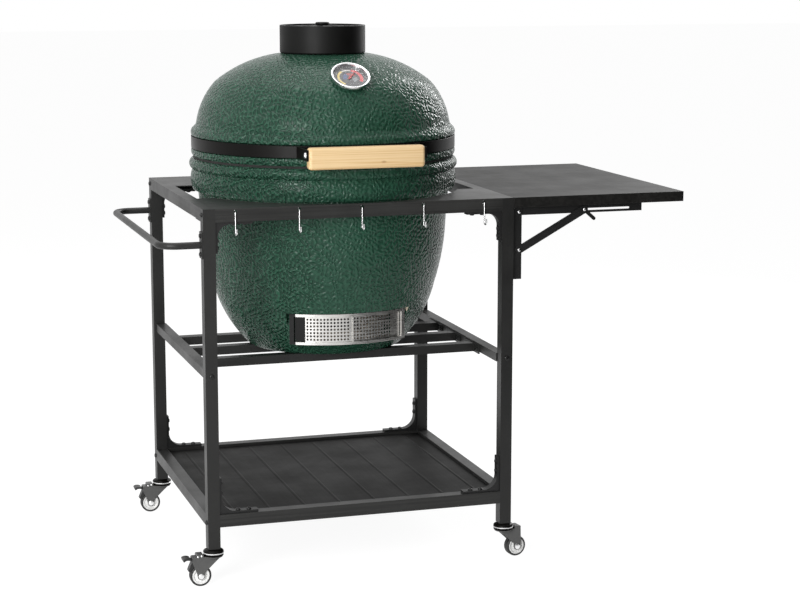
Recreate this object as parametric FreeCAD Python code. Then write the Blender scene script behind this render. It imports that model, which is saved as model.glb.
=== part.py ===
import FreeCAD, Part
import math
import os

os.makedirs("parts", exist_ok=True)

V = FreeCAD.Vector
RIGHT = V(1, 0, 0)
BACK = V(0, 1, 0)
UP = V(0, 0, 1)
LEFT = V(-1, 0, 0)
DOWN = V(0, 0, -1)
ORIGIN = V(0, 0, 0)

# Overall sizes, in millimetres
lip_radius = 286.0          # widest lip of the grill's base
measured_lip = 286.0        # the grill numbers further down are given for this lip
table_height = 768.0        # floor to the table's top
leaf_length = 381.5         # side leaf, left to right
post_side = 25.0            # square posts
wheel_diameter = 44.0       # caster wheels

# Room around the grill, which sets the table's width and depth
opening_gap = 20.0          # grill body to the curved edge of the table's top
side_gap = 12.0             # curved edge to the side rails
front_web = 9.0             # least width of the top in front of and behind the grill

# Sheets and tubes
tube_wall = 1.5
tube_end = 3.0              # plate that closes a tube's end
top_sheet = 2.0
shelf_sheet = 1.5
leaf_sheet = 1.5

# Clearances
turn_fit = 0.05             # radial play of a pin that turns
move_gap = 0.3              # play between pieces that move past one another
bolt_play = 0.2             # radial play of a bolt in its hole

# Rails, as heights
top_rail_height = 27.0
side_rail_height = 25.0
mid_rail_height = 18.0
mid_rail_width = 22.0
mid_rail_lift = 4.0         # mid rails stand this much above the slats
mid_rail_tuck = 2.0         # mid rails reach this far inside the posts
bottom_rail_height = 26.0
bottom_rail_rise = 71.0     # foot of the posts to the top of the bottom rails
shelf_drop = 6.5            # shelf below the top of the bottom rails
shelf_lip = 15.0
rib_count = 8
rib_round = 6.0
rib_rise = 1.2
rib_short = 20.0            # ribs stop this far from the tray's front and back
leaf_apron = 21.0
caster_head = 32.0          # wheel top to the post's foot

# Slats that carry the grill
slat_depth = 25.0
slat_height = 18.0
slat_pitch = 125.0
slat_plate = 3.0
slat_plate_width = 90.0
slat_bolt_offset = 35.0

# Bolts
bolt_shank = 2.5
bolt_head = 5.0
bolt_head_height = 3.0
bolt_socket = 2.2
bolt_past = 8.0             # length of a bolt beyond the tube that it crosses
bolt_bite = 6.0             # length of a bolt beyond the sheet that it holds
top_bolt_drop = 12.0
bottom_bolt_drop = 17.0
mid_bolt_drop = 7.0

# Corner brackets
bracket_thick = 5.0
bracket_width = 18.0
top_bracket_curve = 25.0
low_bracket_curve = 30.0
top_bracket_reach = 76.0
top_bracket_drop = 62.0
low_bracket_reach = 80.0
low_bracket_rise = 75.0
side_bracket_reach = 64.0
side_bracket_drop = 24.0
side_bracket_curve = 10.0
side_bracket_thick = 4.0
rail_bolts = (40.0, 62.0)   # bracket bolts in the rails, from the post
top_post_bolts = (37.0, 52.0)
low_post_bolts = (43.0, 63.0)
side_bolts = (26.0, 52.0)

# Push handle
handle_tube = 7.0
handle_reach = 82.0
handle_bend = 35.0
handle_drop = 72.0
handle_plate = 3.0
handle_plate_height = 53.0
handle_plate_width = 22.0
handle_bolt_offset = 18.5

# Side leaf and its folding brackets
leaf_seam = 0.5
leaf_pivot_out = 14.0       # pivot from the post's right face
leaf_pivot_drop = 31.0
strut_pivot_drop = 110.0
strut_run = 144.5           # slot rivet from the strut's pivot, left to right
strut_width = 16.5
bar_sheet = 2.0
wall_bar_width = 20.0
wall_bar_top = 22.0
wall_bar_bottom = 171.0
bar_flange = 18.0
leaf_bar_bottom = 38.0
leaf_bar_end = 290.0
leaf_bar_tail = 8.0         # leaf bar behind its pivot
slot_start = 142.5
slot_end = 246.0
slot_height = 4.4
rivet_shank = 2.0
rivet_head = 3.3
rivet_head_height = 1.6
rivet_tail_height = 1.2
lever_length = 30.0
lever_width = 7.5
lever_slope = 41.0
bracket_inset = 4.5         # front of the strut behind the table's front face

# Wire hooks
hook_count = 5
hook_end = 40.0             # outermost hooks from the posts
hook_hole = 4.0
hook_hole_drop = 7.0
hook_sag = 1.0
hook_wire = 1.5
hook_length = 44.0
hook_bowl = 6.0
hook_tip = 6.0
hook_bend = 3.2

# Casters, with the stem on the local origin and the wheel trailing to the right
wheel_width = 17.0
wheel_tread = 3.8
wheel_edge = 2.5
trail = 28.0
fork_gap = 19.0
fork_sheet = 2.0
fork_toe = 7.5
axle_radius = 2.5
axle_nut = 6.0
axle_nut_height = 3.0
stem_radius = 4.95
disc_radius = 21.0
disc_height = 7.5
ring_height = 2.3
race_height = 4.6
crown_sheet = 2.5
stem_rise = 34.0            # stem inside the post
plug_rise = 30.0            # plug that grips the stem
stem_nut = 8.0
stem_nut_height = 3.0
hood_start = 1.5            # hood behind the disc's edge
hood_length = 8.5           # hood past the axle
pedal_out = 13.0            # pedal's pivot past the axle
pedal_drop = 4.0
cheek_rim = 4.5             # fork plate round the pedal's pivot
fork_rivet = 1.6
fork_rivet_height = 1.0
right_turn = 8.0            # right casters are turned back a little
pedal_reach = 63.0
pedal_sheet = 3.0
pedal_pin = 1.5

# Grill
seam_low = 68.5             # top of the base above the table's top
seam_high = 73.5            # underside of the dome above the table's top
gasket_inner = 257.0
gasket_outer = 277.0
band_low = 89.8
band_high = 114.8
band_thick = 5.2
chimney_radius = 66.0
cap_radius = 90.7
cap_low = 286.5
cap_high = 345.6
vent_slots = 8
vent_slot_angle = 18.0
knob_radius = 15.0
slot_inner = 24.0
slot_outer = 70.0
cap_plate = 3.0
cap_sunk = 5.6              # slotted plate below the cap's rim
cap_foot = 4.0
vent_sheet = 2.4
vent_boss = 5.0
knob_rise = 6.5
pivot_radius = 4.0
grate_rods = 21
grate_pitch = 20.0

# Lid hinge
hinge_back = 310.0
hinge_up = 72.0
hinge_pin_radius = 4.0
hinge_pin_cap = 7.0
hinge_pin_cap_thick = 3.0
hinge_block_back = 290.0    # back face of the blocks, in drawing units
hinge_block_in = 260.0
low_block_low = 8.0
low_block_high = 64.0
high_block_low = 78.0
high_block_high = 130.0
hinge_screw_head = 5.0
hinge_screw_height = 3.0
hinge_screw_angle = 7.0
low_screw_up = 20.0
high_screw_up = 122.0
hinge_ear = 10.0
hinge_ear_thick = 6.0
hinge_ear_in = 46.0
hinge_spread = 12.0         # half the angle that the brackets cover

# Wooden handle
wood_length = 240.0
wood_height = 44.0
wood_depth = 24.0
wood_middle = 328.0         # grill axis to the middle of the wood
wood_low = 74.0
wood_round = 7.0
strap_thick = 4.0
strap_reach = 8.0           # strap past the middle of the wood
strap_foot = 3.0
wood_screw = 2.5
wood_screw_in = 25.0
wood_screw_head = 6.0
wood_screw_height = 4.0

# Thermometer
dial_radius = 40.0
dial_rim = 4.5
dial_depth = 13.5
dial_tilt = 35.7
dial_out = 210.0
dial_up = 242.0
dial_floor = 3.0            # dial's seat above the ceramic
dial_sheet = 1.0
dial_stem = 3.5
dial_stem_length = 45.0
lens_sheet = 1.5
lens_drop = 3.0             # lens below the rim
spindle_radius = 1.5
needle_low = 6.5
needle_high = 7.3
needle_length = 26.0
needle_turn = 40.0          # needle at rest, clockwise from straight up

# Draft door
draft_face = 214.0
draft_frame = 9.0
draft_low = -302.0
draft_high = -238.0
draft_rail = 5.5
draft_half = 34.0
draft_stile = 2.5
draft_panel = 1.2
draft_groove = 3.0
draft_hole = 28.0
screen_hole = 1.75
screen_pitch = 7.0
screen_rows = 7
screen_out = 5.3            # screen from the face of the ceramic
door_out = 1.9
way_inner = 120.0
air_clear = 2.0             # door way above and below the rails


def g(size):
    """A grill size scaled from the measured lip to the lip that is set."""
    return size * lip_radius / measured_lip


def up(rise):
    """Height of a grill point given above or below the table's top."""
    return table_height + g(rise)


# Sizes that follow from the ones above
body_radius = g(268.0)
opening_radius = body_radius + opening_gap
side_inner = opening_radius + side_gap
half_width = side_inner + post_side
half_depth = opening_radius + front_web
half_depth_inner = half_depth - post_side
post_x = half_width - post_side / 2
post_y = half_depth - post_side / 2
post_foot = wheel_diameter + caster_head
bottom_rail_top = post_foot + bottom_rail_rise
bottom_rail_low = bottom_rail_top - bottom_rail_height
slat_top = up(-332.6)
mid_rail_top = slat_top + mid_rail_lift
top_rail_low = table_height - top_rail_height
opening_end = g(118.0)      # where the curved edge meets its straight ends
mid_x0 = side_inner - mid_rail_tuck
mid_x1 = mid_x0 + mid_rail_width
slat_face = mid_x0 - slat_plate
leaf_x0 = half_width + leaf_seam
leaf_x1 = leaf_x0 + leaf_length

# The grill's axis is the origin while the pieces are made. They are saved with
# the middle of the whole table's box over the origin instead.
left_end = -half_width - handle_reach - handle_tube
front_end = -g(wood_middle) - wood_depth / 2
back_end = g(hinge_back) + hinge_ear
to_middle = V(-(left_end + leaf_x1) / 2, -(front_end + back_end) / 2, 0)


def box(x0, x1, y0, y1, z0, z1):
    low = V(min(x0, x1), min(y0, y1), min(z0, z1))
    return Part.makeBox(abs(x1 - x0), abs(y1 - y0), abs(z1 - z0), low)


def rod(radius, start, end):
    along = end - start
    return Part.makeCylinder(radius, along.Length, start, along)


def flip_x(shape):
    return shape.mirror(ORIGIN, RIGHT)


def flip_y(shape):
    return shape.mirror(ORIGIN, BACK)


def turned(shape, degrees, centre=ORIGIN, axis=UP):
    copy = shape.copy()
    copy.rotate(centre, axis, degrees)
    return copy


def moved(shape, by):
    copy = shape.copy()
    copy.translate(by)
    return copy


def on_xz(a, b):
    return V(a, 0, b)


def on_yz(a, b):
    return V(0, a, b)


def on_xy(a, b):
    return V(a, b, 0)


def outline(plane, start, steps):
    """Closed face from a start point and steps.

    A step is a point for a straight stretch, or two points for an arc
    through the first that ends on the second.
    """
    edges = []
    here = plane(*start)
    first = here
    for step in steps:
        if isinstance(step[0], tuple):
            middle = plane(*step[0])
            end = plane(*step[1])
            edges.append(Part.Arc(here, middle, end).toShape())
        else:
            end = plane(*step)
            edges.append(Part.makeLine(here, end))
        here = end
    if here.distanceToPoint(first) > 1e-6:
        edges.append(Part.makeLine(here, first))
    return Part.Face(Part.Wire(edges))


def spun(start, steps):
    """Solid of revolution about the upright axis from radius, height points."""
    return outline(on_xz, start, steps).revolve(ORIGIN, UP, 360)


def plate_xz(start, steps, y0, y1):
    face = outline(on_xz, start, steps)
    face.translate(V(0, min(y0, y1), 0))
    return face.extrude(V(0, abs(y1 - y0), 0))


def plate_yz(start, steps, x0, x1):
    face = outline(on_yz, start, steps)
    face.translate(V(min(x0, x1), 0, 0))
    return face.extrude(V(abs(x1 - x0), 0, 0))


def plate_xy(start, steps, z0, z1):
    face = outline(on_xy, start, steps)
    face.translate(V(0, 0, min(z0, z1)))
    return face.extrude(V(0, 0, abs(z1 - z0)))


def ring(inner, outer, z0, z1):
    disc = Part.makeCylinder(outer, z1 - z0, V(0, 0, z0))
    return disc.cut(Part.makeCylinder(inner, z1 - z0, V(0, 0, z0)))


def sector(inner, outer, z0, z1, angle0, angle1):
    """Part of a ring between two angles counted from the front to the right."""
    wedge = Part.makeCylinder(outer, z1 - z0, V(0, 0, z0), UP, angle1 - angle0)
    wedge = wedge.cut(Part.makeCylinder(inner, z1 - z0, V(0, 0, z0)))
    return turned(wedge, angle0 - 90)


def bend_path(points, bend):
    """Wire through points with each corner rounded to the bend radius."""
    edges = []
    here = points[0]
    for i in range(1, len(points) - 1):
        corner = points[i]
        before = (points[i - 1] - corner).normalize()
        after = (points[i + 1] - corner).normalize()
        half = before.getAngle(after) / 2
        reach = bend / math.tan(half)
        middle = (before + after).normalize()
        tangent0 = corner + before * reach
        tangent1 = corner + after * reach
        depth = bend / math.sin(half) - bend
        if here.distanceToPoint(tangent0) > 1e-6:
            edges.append(Part.makeLine(here, tangent0))
        edges.append(Part.Arc(tangent0, corner + middle * depth, tangent1).toShape())
        here = tangent1
    edges.append(Part.makeLine(here, points[-1]))
    return Part.Wire(edges)


def bent_rod(points, bend, radius):
    path = bend_path(points, bend)
    circle = Part.Wire(Part.makeCircle(radius, points[0], points[1] - points[0]))
    return path.makePipeShell([circle], True, False)


def joined(first, *others):
    return first.fuse(list(others)).removeSplitter()


def save(node, solids):
    """Write a node, moved so that the whole model's box is centred on the origin."""
    whole = []
    for solid in solids:
        whole.extend(moved(solid, to_middle).Solids)
    shape = whole[0] if len(whole) == 1 else Part.makeCompound(whole)
    shape.exportStep(os.path.join("parts", node + ".step"))


def aimed(shape, at, outward):
    """A shape built along the upright axis, placed with that axis outward."""
    copy = shape.copy()
    copy.Placement = FreeCAD.Placement(at, FreeCAD.Rotation(UP, outward))
    return copy


# Bolts: each has its seat, its outward direction and its grip
bolts = []


def add_bolt(seat, outward, grip):
    bolts.append((seat, outward, grip))


def bolt_solid(seat, outward, grip):
    head_top = bolt_head_height
    head = spun((0, 0), [(bolt_head, 0), (bolt_head, head_top * 0.6),
                         ((bolt_head * 0.88, head_top * 0.88), (bolt_head * 0.6, head_top)),
                         (bolt_socket, head_top), (bolt_socket, head_top * 0.4),
                         (0, head_top * 0.4)])
    shank = Part.makeCylinder(bolt_shank, grip, ORIGIN, DOWN)
    return aimed(joined(head, shank), seat, outward)


def drilled(shape):
    """Cut the clearance hole of every bolt that passes through the shape."""
    tools = []
    for seat, outward, grip in bolts:
        hole = Part.makeCylinder(bolt_shank + bolt_play, grip, seat, outward * -1)
        if hole.BoundBox.intersect(shape.BoundBox):
            tools.append(hole)
    return shape.cut(tools) if tools else shape


# Bolts of the frame
for sy in (-1, 1):
    for sx in (-1, 1):
        outward = V(sx, 0, 0)
        low = V(sx * half_width, sy * post_y, bottom_rail_top - bottom_bolt_drop)
        add_bolt(low, outward, post_side + bolt_past)
        if sx < 0:
            high = V(sx * half_width, sy * post_y, table_height - top_bolt_drop)
            add_bolt(high, outward, post_side + bolt_past)
        mid = V(sx * post_x, sy * half_depth, mid_rail_top - mid_bolt_drop)
        add_bolt(mid, V(0, sy, 0), post_side + bolt_past)
    for offset in (-handle_bolt_offset, handle_bolt_offset):
        seat = V(-half_width - handle_plate, sy * post_y, table_height - handle_drop + offset)
        add_bolt(seat, LEFT, handle_plate + bolt_bite)

# Bolts of the slats
for sx in (-1, 1):
    for row in (-1, 0, 1):
        for offset in (-slat_bolt_offset, slat_bolt_offset):
            seat = V(sx * slat_face, row * slat_pitch + offset, slat_top - slat_height / 2)
            add_bolt(seat, V(-sx, 0, 0), slat_plate + bolt_bite)


def corner_bracket(reach, drop, curve, thick):
    """Bracket in the corner above left, with its legs to the right and down."""
    inner = thick + curve
    mid = thick + curve * (1 - math.sqrt(0.5))
    steps = [(reach, 0), (reach, -thick), (inner, -thick),
             ((mid, -mid), (thick, -inner)), (thick, -drop), (0, -drop)]
    face = outline(on_xz, (0, 0), steps)
    face.translate(V(0, -bracket_width / 2, 0))
    return face.extrude(V(0, bracket_width, 0))


# Corner brackets along the front and back, with two bolts in each leg
brackets = []
top_bracket = corner_bracket(top_bracket_reach, top_bracket_drop, top_bracket_curve, bracket_thick)
low_bracket = corner_bracket(low_bracket_reach, low_bracket_rise, low_bracket_curve, bracket_thick)
low_bracket = low_bracket.mirror(ORIGIN, UP)
for sy in (-1, 1):
    for sx in (-1, 1):
        top = moved(top_bracket, V(-side_inner, sy * post_y, top_rail_low))
        low = moved(low_bracket, V(-side_inner, sy * post_y, bottom_rail_top))
        brackets.append(top if sx < 0 else flip_x(top))
        brackets.append(low if sx < 0 else flip_x(low))
        for along in rail_bolts:
            seat = V(sx * (side_inner - along), sy * post_y, top_rail_low - bracket_thick)
            add_bolt(seat, DOWN, bracket_thick + bolt_bite)
            seat = V(sx * (side_inner - along), sy * post_y, bottom_rail_top + bracket_thick)
            add_bolt(seat, UP, bracket_thick + bolt_bite)
        for along in top_post_bolts:
            seat = V(sx * (side_inner - bracket_thick), sy * post_y, top_rail_low - along)
            add_bolt(seat, V(-sx, 0, 0), bracket_thick + bolt_bite)
        for along in low_post_bolts:
            seat = V(sx * (side_inner - bracket_thick), sy * post_y, bottom_rail_top + along)
            add_bolt(seat, V(-sx, 0, 0), bracket_thick + bolt_bite)

# Smaller brackets under the side rails at the front posts
side_bracket = corner_bracket(side_bracket_reach, side_bracket_drop, side_bracket_curve,
                              side_bracket_thick)
side_bracket = turned(side_bracket, 90)
for sx in (-1, 1):
    corner = V(sx * post_x, -half_depth_inner, table_height - side_rail_height)
    brackets.append(moved(side_bracket, corner))
    for along in side_bolts:
        seat = corner + V(0, along, -side_bracket_thick)
        add_bolt(seat, DOWN, side_bracket_thick + bolt_bite)

# Posts, open at the foot and closed at the top
posts = []
for sy in (-1, 1):
    for sx in (-1, 1):
        x0 = sx * side_inner
        x1 = sx * half_width
        y0 = sy * half_depth_inner
        y1 = sy * half_depth
        outer = box(x0, x1, y0, y1, post_foot, table_height)
        bore = box(x0 + sx * tube_wall, x1 - sx * tube_wall, y0 + sy * tube_wall, y1 - sy * tube_wall,
                   post_foot, table_height - top_sheet)
        posts.append(drilled(outer.cut(bore)))
save("posts", posts)


def front_rail():
    """Folded top rail at the front, with its curved edge round the grill."""
    end_x = math.sqrt(opening_radius ** 2 - opening_end ** 2)
    steps = [(side_inner, -half_depth), (side_inner, -opening_end), (end_x, -opening_end),
             ((0, -opening_radius), (-end_x, -opening_end)), (-side_inner, -opening_end)]
    flange = plate_xy((-side_inner, -half_depth), steps, table_height - top_sheet, table_height)
    web = box(-side_inner, side_inner, -half_depth, -half_depth + top_sheet, top_rail_low, table_height)
    foot = box(-side_inner, side_inner, -half_depth, -half_depth_inner,
               top_rail_low, top_rail_low + top_sheet)
    ends = []
    for sx in (-1, 1):
        ends.append(box(sx * side_inner, sx * (side_inner - top_sheet), -half_depth, -half_depth_inner,
                        top_rail_low, table_height))
    return joined(flange, web, foot, *ends)


rail = front_rail()
hook_pitch = 2 * (side_inner - hook_end) / (hook_count - 1)
hooks_x = [(i - (hook_count - 1) / 2) * hook_pitch for i in range(hook_count)]
hook_holes = []
for x in hooks_x:
    start = V(x, -half_depth - 1, table_height - hook_hole_drop)
    hook_holes.append(rod(hook_hole, start, start + V(0, top_sheet + 2, 0)))
save("front_top_rail", [drilled(rail.cut(hook_holes))])
save("back_top_rail", [drilled(flip_y(rail))])


def tube_y(x0, x1, z0, z1, end_plate):
    """Square tube from front to back between the posts."""
    outer = box(x0, x1, -half_depth_inner, half_depth_inner, z0, z1)
    stop = half_depth_inner - end_plate
    bore = box(x0 + tube_wall, x1 - tube_wall, -stop, stop, z0 + tube_wall, z1 - tube_wall)
    return drilled(outer.cut(bore))


def tube_x(y0, y1, z0, z1, end_plate):
    """Square tube from left to right between the posts."""
    outer = box(-side_inner, side_inner, y0, y1, z0, z1)
    stop = side_inner - end_plate
    bore = box(-stop, stop, y0 + tube_wall, y1 - tube_wall, z0 + tube_wall, z1 - tube_wall)
    return drilled(outer.cut(bore))


side_top = tube_y(side_inner, half_width, table_height - side_rail_height, table_height, 0)
side_top_left = tube_y(-half_width, -side_inner, table_height - side_rail_height, table_height, 0)
save("side_top_rails", [side_top, side_top_left])

mid_low = mid_rail_top - mid_rail_height
mid_rails = [tube_y(mid_x0, mid_x1, mid_low, mid_rail_top, tube_end)]
mid_rails.append(tube_y(-mid_x1, -mid_x0, mid_low, mid_rail_top, tube_end))
save("side_mid_rails", mid_rails)

# Slats with a plate at each end
slats = []
for row in (-1, 0, 1):
    y = row * slat_pitch
    slat_low = slat_top - slat_height
    outer = box(-slat_face, slat_face, y - slat_depth / 2, y + slat_depth / 2, slat_low, slat_top)
    bore = box(-mid_x0, mid_x0, y - slat_depth / 2 + tube_wall, y + slat_depth / 2 - tube_wall,
               slat_low + tube_wall, slat_top - tube_wall)
    ends = []
    for sx in (-1, 1):
        ends.append(box(sx * slat_face, sx * mid_x0, y - slat_plate_width / 2,
                        y + slat_plate_width / 2, slat_low, slat_top))
    slats.append(drilled(joined(outer, *ends).cut(bore)))
save("kamado_slats", slats)

long_rails = []
for sy in (-1, 1):
    y0 = min(sy * half_depth_inner, sy * half_depth)
    long_rails.append(tube_x(y0, y0 + post_side, bottom_rail_low, bottom_rail_top, tube_end))
save("long_bottom_rails", long_rails)

side_low = [tube_y(side_inner, half_width, bottom_rail_low, bottom_rail_top, 0)]
side_low.append(tube_y(-half_width, -side_inner, bottom_rail_low, bottom_rail_top, 0))
save("side_bottom_rails", side_low)

# Shelf: a tray with folded edges and shallow ribs from front to back
shelf_top = bottom_rail_top - shelf_drop
tray = box(-side_inner, side_inner, -half_depth_inner, half_depth_inner, shelf_top - shelf_lip, shelf_top)
tray = tray.cut(box(-side_inner + shelf_sheet, side_inner - shelf_sheet,
                    -half_depth_inner + shelf_sheet, half_depth_inner - shelf_sheet,
                    shelf_top - shelf_lip, shelf_top - shelf_sheet))
rib_pitch = 2 * side_inner / rib_count
ribs = []
for i in range(rib_count):
    x = -side_inner + rib_pitch * (i + 0.5)
    rib_z = shelf_top + rib_rise - rib_round
    rib = rod(rib_round, V(x, -half_depth_inner + rib_short, rib_z),
              V(x, half_depth_inner - rib_short, rib_z))
    ribs.append(rib.common(box(x - rib_round, x + rib_round, -half_depth_inner, half_depth_inner,
                               shelf_top - shelf_sheet, shelf_top + rib_round)))
save("shelf_panel", [joined(tray, *ribs)])

save("corner_brackets", [drilled(bracket) for bracket in brackets])
save("frame_bolts", [bolt_solid(*bolt) for bolt in bolts])

# Push handle: a bent tube with a plate at each end
handle_z = table_height - handle_drop
tube_in = -half_width
tube_out = -half_width - handle_reach
path = [V(tube_in, -post_y, handle_z), V(tube_out, -post_y, handle_z),
        V(tube_out, post_y, handle_z), V(tube_in, post_y, handle_z)]
tube = bent_rod(path, handle_bend, handle_tube)
plates = []
for sy in (-1, 1):
    y = sy * post_y
    plates.append(box(-half_width - handle_plate, -half_width, y - handle_plate_width / 2,
                      y + handle_plate_width / 2, handle_z - handle_plate_height / 2,
                      handle_z + handle_plate_height / 2))
grip = joined(tube, *plates).cut(bent_rod(path, handle_bend, handle_tube - tube_wall))
save("push_handle", [drilled(grip)])

# Side leaf: a folded sheet with a rim all round
leaf = box(leaf_x0, leaf_x1, -half_depth, half_depth, table_height - leaf_apron, table_height)
leaf = leaf.cut(box(leaf_x0 + leaf_sheet, leaf_x1 - leaf_sheet, -half_depth + leaf_sheet,
                    half_depth - leaf_sheet, table_height - leaf_apron, table_height - leaf_sheet))
save("leaf_panel", [leaf])

# Folding brackets. From the front: strut, wall bar, leaf bar, each a small gap apart
pivot_x = half_width + leaf_pivot_out
pivot_z = table_height - leaf_pivot_drop
strut_z = table_height - strut_pivot_drop
slot_x = pivot_x + strut_run
strut_y0 = -half_depth + bracket_inset
strut_y1 = strut_y0 + bar_sheet
wall_y0 = strut_y1 + move_gap
wall_y1 = wall_y0 + bar_sheet
bar_y0 = wall_y1 + move_gap
bar_y1 = bar_y0 + bar_sheet


def pin_y(radius, x, z, y0, y1):
    return rod(radius, V(x, y0, z), V(x, y1, z))


wall_low = table_height - wall_bar_bottom
wall_high = table_height - wall_bar_top
wall_bar = joined(box(half_width, half_width + wall_bar_width, wall_y0, wall_y1, wall_low, wall_high),
                  box(half_width, half_width + bar_sheet, wall_y0, wall_y0 + bar_flange,
                      wall_low, wall_high))
wall_bar = wall_bar.cut([pin_y(rivet_shank, pivot_x, pivot_z, wall_y0, wall_y1),
                         pin_y(rivet_shank, pivot_x, strut_z, wall_y0, wall_y1)])
save("wall_bars", [wall_bar, flip_y(wall_bar)])

bar_x0 = pivot_x - leaf_bar_tail
bar_x1 = half_width + leaf_bar_end
bar_high = table_height - leaf_sheet
leaf_bar = joined(box(bar_x0, bar_x1, bar_y0, bar_y1, table_height - leaf_bar_bottom, bar_high),
                  box(bar_x0, bar_x1, bar_y0, bar_y0 + bar_flange, bar_high - bar_sheet, bar_high))
slot = joined(box(pivot_x + slot_start, pivot_x + slot_end, bar_y0, bar_y1,
                  pivot_z - slot_height / 2, pivot_z + slot_height / 2),
              pin_y(slot_height / 2, pivot_x + slot_start, pivot_z, bar_y0, bar_y1),
              pin_y(slot_height / 2, pivot_x + slot_end, pivot_z, bar_y0, bar_y1))
leaf_bar = leaf_bar.cut([slot, pin_y(rivet_shank + turn_fit, pivot_x, pivot_z, bar_y0, bar_y1)])
save("leaf_bars", [leaf_bar, flip_y(leaf_bar)])


def flat_link(length, width, y0, y1):
    """Flat bar with round ends from the origin to the right."""
    r = width / 2
    steps = [(length, r), ((length + r, 0), (length, -r)), (0, -r), ((-r, 0), (0, r))]
    return plate_xz((0, r), steps, y0, y1)


strut_rise = strut_pivot_drop - leaf_pivot_drop
strut_angle = math.degrees(math.atan2(strut_rise, strut_run))
strut_length = math.hypot(strut_rise, strut_run)
strut = flat_link(strut_length, strut_width, strut_y0, strut_y1)
strut = moved(turned(strut, -strut_angle, ORIGIN, BACK), V(pivot_x, 0, strut_z))
strut = strut.cut([pin_y(rivet_shank + turn_fit, pivot_x, strut_z, strut_y0, strut_y1),
                   pin_y(rivet_shank, slot_x, pivot_z, strut_y0, strut_y1)])


def headed_rivet(x, z, head_y, end_y):
    """Rivet whose head starts at head_y and stands forward of it."""
    head = pin_y(rivet_head, x, z, head_y - rivet_head_height, head_y)
    return joined(head, pin_y(rivet_shank, x, z, head_y, end_y))


slot_rivet = headed_rivet(slot_x, pivot_z, strut_y0, wall_y1)
save("leaf_struts", [strut, slot_rivet, flip_y(strut), flip_y(slot_rivet)])

lever = flat_link(lever_length, lever_width, wall_y0, wall_y1 - move_gap)
lever = moved(turned(lever, lever_slope, ORIGIN, BACK), V(slot_x, 0, pivot_z))
lever = lever.cut(pin_y(rivet_shank + turn_fit, slot_x, pivot_z, wall_y0, wall_y1))
save("release_levers", [lever, flip_y(lever)])

leaf_rivet = joined(headed_rivet(pivot_x, pivot_z, wall_y0, bar_y1 + move_gap),
                    pin_y(rivet_head, pivot_x, pivot_z, bar_y1 + move_gap,
                           bar_y1 + move_gap + rivet_tail_height))
strut_rivet = headed_rivet(pivot_x, strut_z, strut_y0 - move_gap, wall_y1)
save("bracket_rivets", [leaf_rivet, strut_rivet, flip_y(leaf_rivet), flip_y(strut_rivet)])

# Wire hooks: turned up behind the rail, through its hole, down and into a bowl
hook_z = table_height - hook_hole_drop - hook_sag
front_leg = -half_depth - hook_wire - 0.4
back_leg = -half_depth + top_sheet + hook_wire + 2.5
for i, x in enumerate(hooks_x):
    bowl_z = hook_z - hook_length + hook_bowl
    bowl_y = front_leg - hook_bowl
    tip_y = front_leg - 2 * hook_bowl
    bend = hook_bend
    turn = bend * (1 - math.sqrt(0.5))
    start = V(x, back_leg, hook_z + bend + 1.5)
    edges = [Part.makeLine(start, V(x, back_leg, hook_z + bend)),
             Part.Arc(V(x, back_leg, hook_z + bend), V(x, back_leg - turn, hook_z + turn),
                      V(x, back_leg - bend, hook_z)).toShape(),
             Part.makeLine(V(x, back_leg - bend, hook_z), V(x, front_leg + bend, hook_z)),
             Part.Arc(V(x, front_leg + bend, hook_z), V(x, front_leg + turn, hook_z - turn),
                      V(x, front_leg, hook_z - bend)).toShape(),
             Part.makeLine(V(x, front_leg, hook_z - bend), V(x, front_leg, bowl_z)),
             Part.Arc(V(x, front_leg, bowl_z), V(x, bowl_y, bowl_z - hook_bowl),
                      V(x, tip_y, bowl_z)).toShape(),
             Part.makeLine(V(x, tip_y, bowl_z), V(x, tip_y, bowl_z + hook_tip))]
    circle = Part.Wire(Part.makeCircle(hook_wire, start, DOWN))
    hook = Part.Wire(edges).makePipeShell([circle], True, False)
    save("hook_%d" % (i + 1), [hook])

# Casters
wheel_radius = wheel_diameter / 2
disc_top = post_foot
disc_low = disc_top - disc_height
ring_low = disc_low - ring_height
race_high = ring_low - move_gap
race_low = race_high - race_height
crown_low = race_low - crown_sheet
fork_half = fork_gap / 2 + fork_sheet
hood_in = disc_radius + hood_start
hood_out = trail + hood_length
hood_top = race_high + 1.0
pedal_x = trail + pedal_out
pedal_z = crown_low - pedal_drop


def caster_mount():
    """Stem, domed disc and bright ring, all fixed to the post."""
    cap = spun((stem_radius, disc_low), [(disc_radius, disc_low), (disc_radius, disc_low + 2.0),
               ((disc_radius * 0.9, disc_low + 4.6), (disc_radius * 0.62, disc_top)),
               (stem_radius, disc_top)])
    bright = ring(stem_radius, disc_radius + 0.3, ring_low, disc_low)
    stem_low = crown_low - move_gap
    stem = Part.makeCylinder(stem_radius, post_foot + stem_rise - stem_low, V(0, 0, stem_low))
    nut = Part.makeCylinder(stem_nut, stem_nut_height, V(0, 0, stem_low - stem_nut_height))
    inside = post_side / 2 - tube_wall
    plug = box(-inside, inside, -inside, inside, post_foot, post_foot + plug_rise)
    plug = plug.cut(Part.makeCylinder(stem_radius, plug_rise + 2, V(0, 0, post_foot - 1)))
    return [cap, bright, joined(stem, nut), plug]


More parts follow.
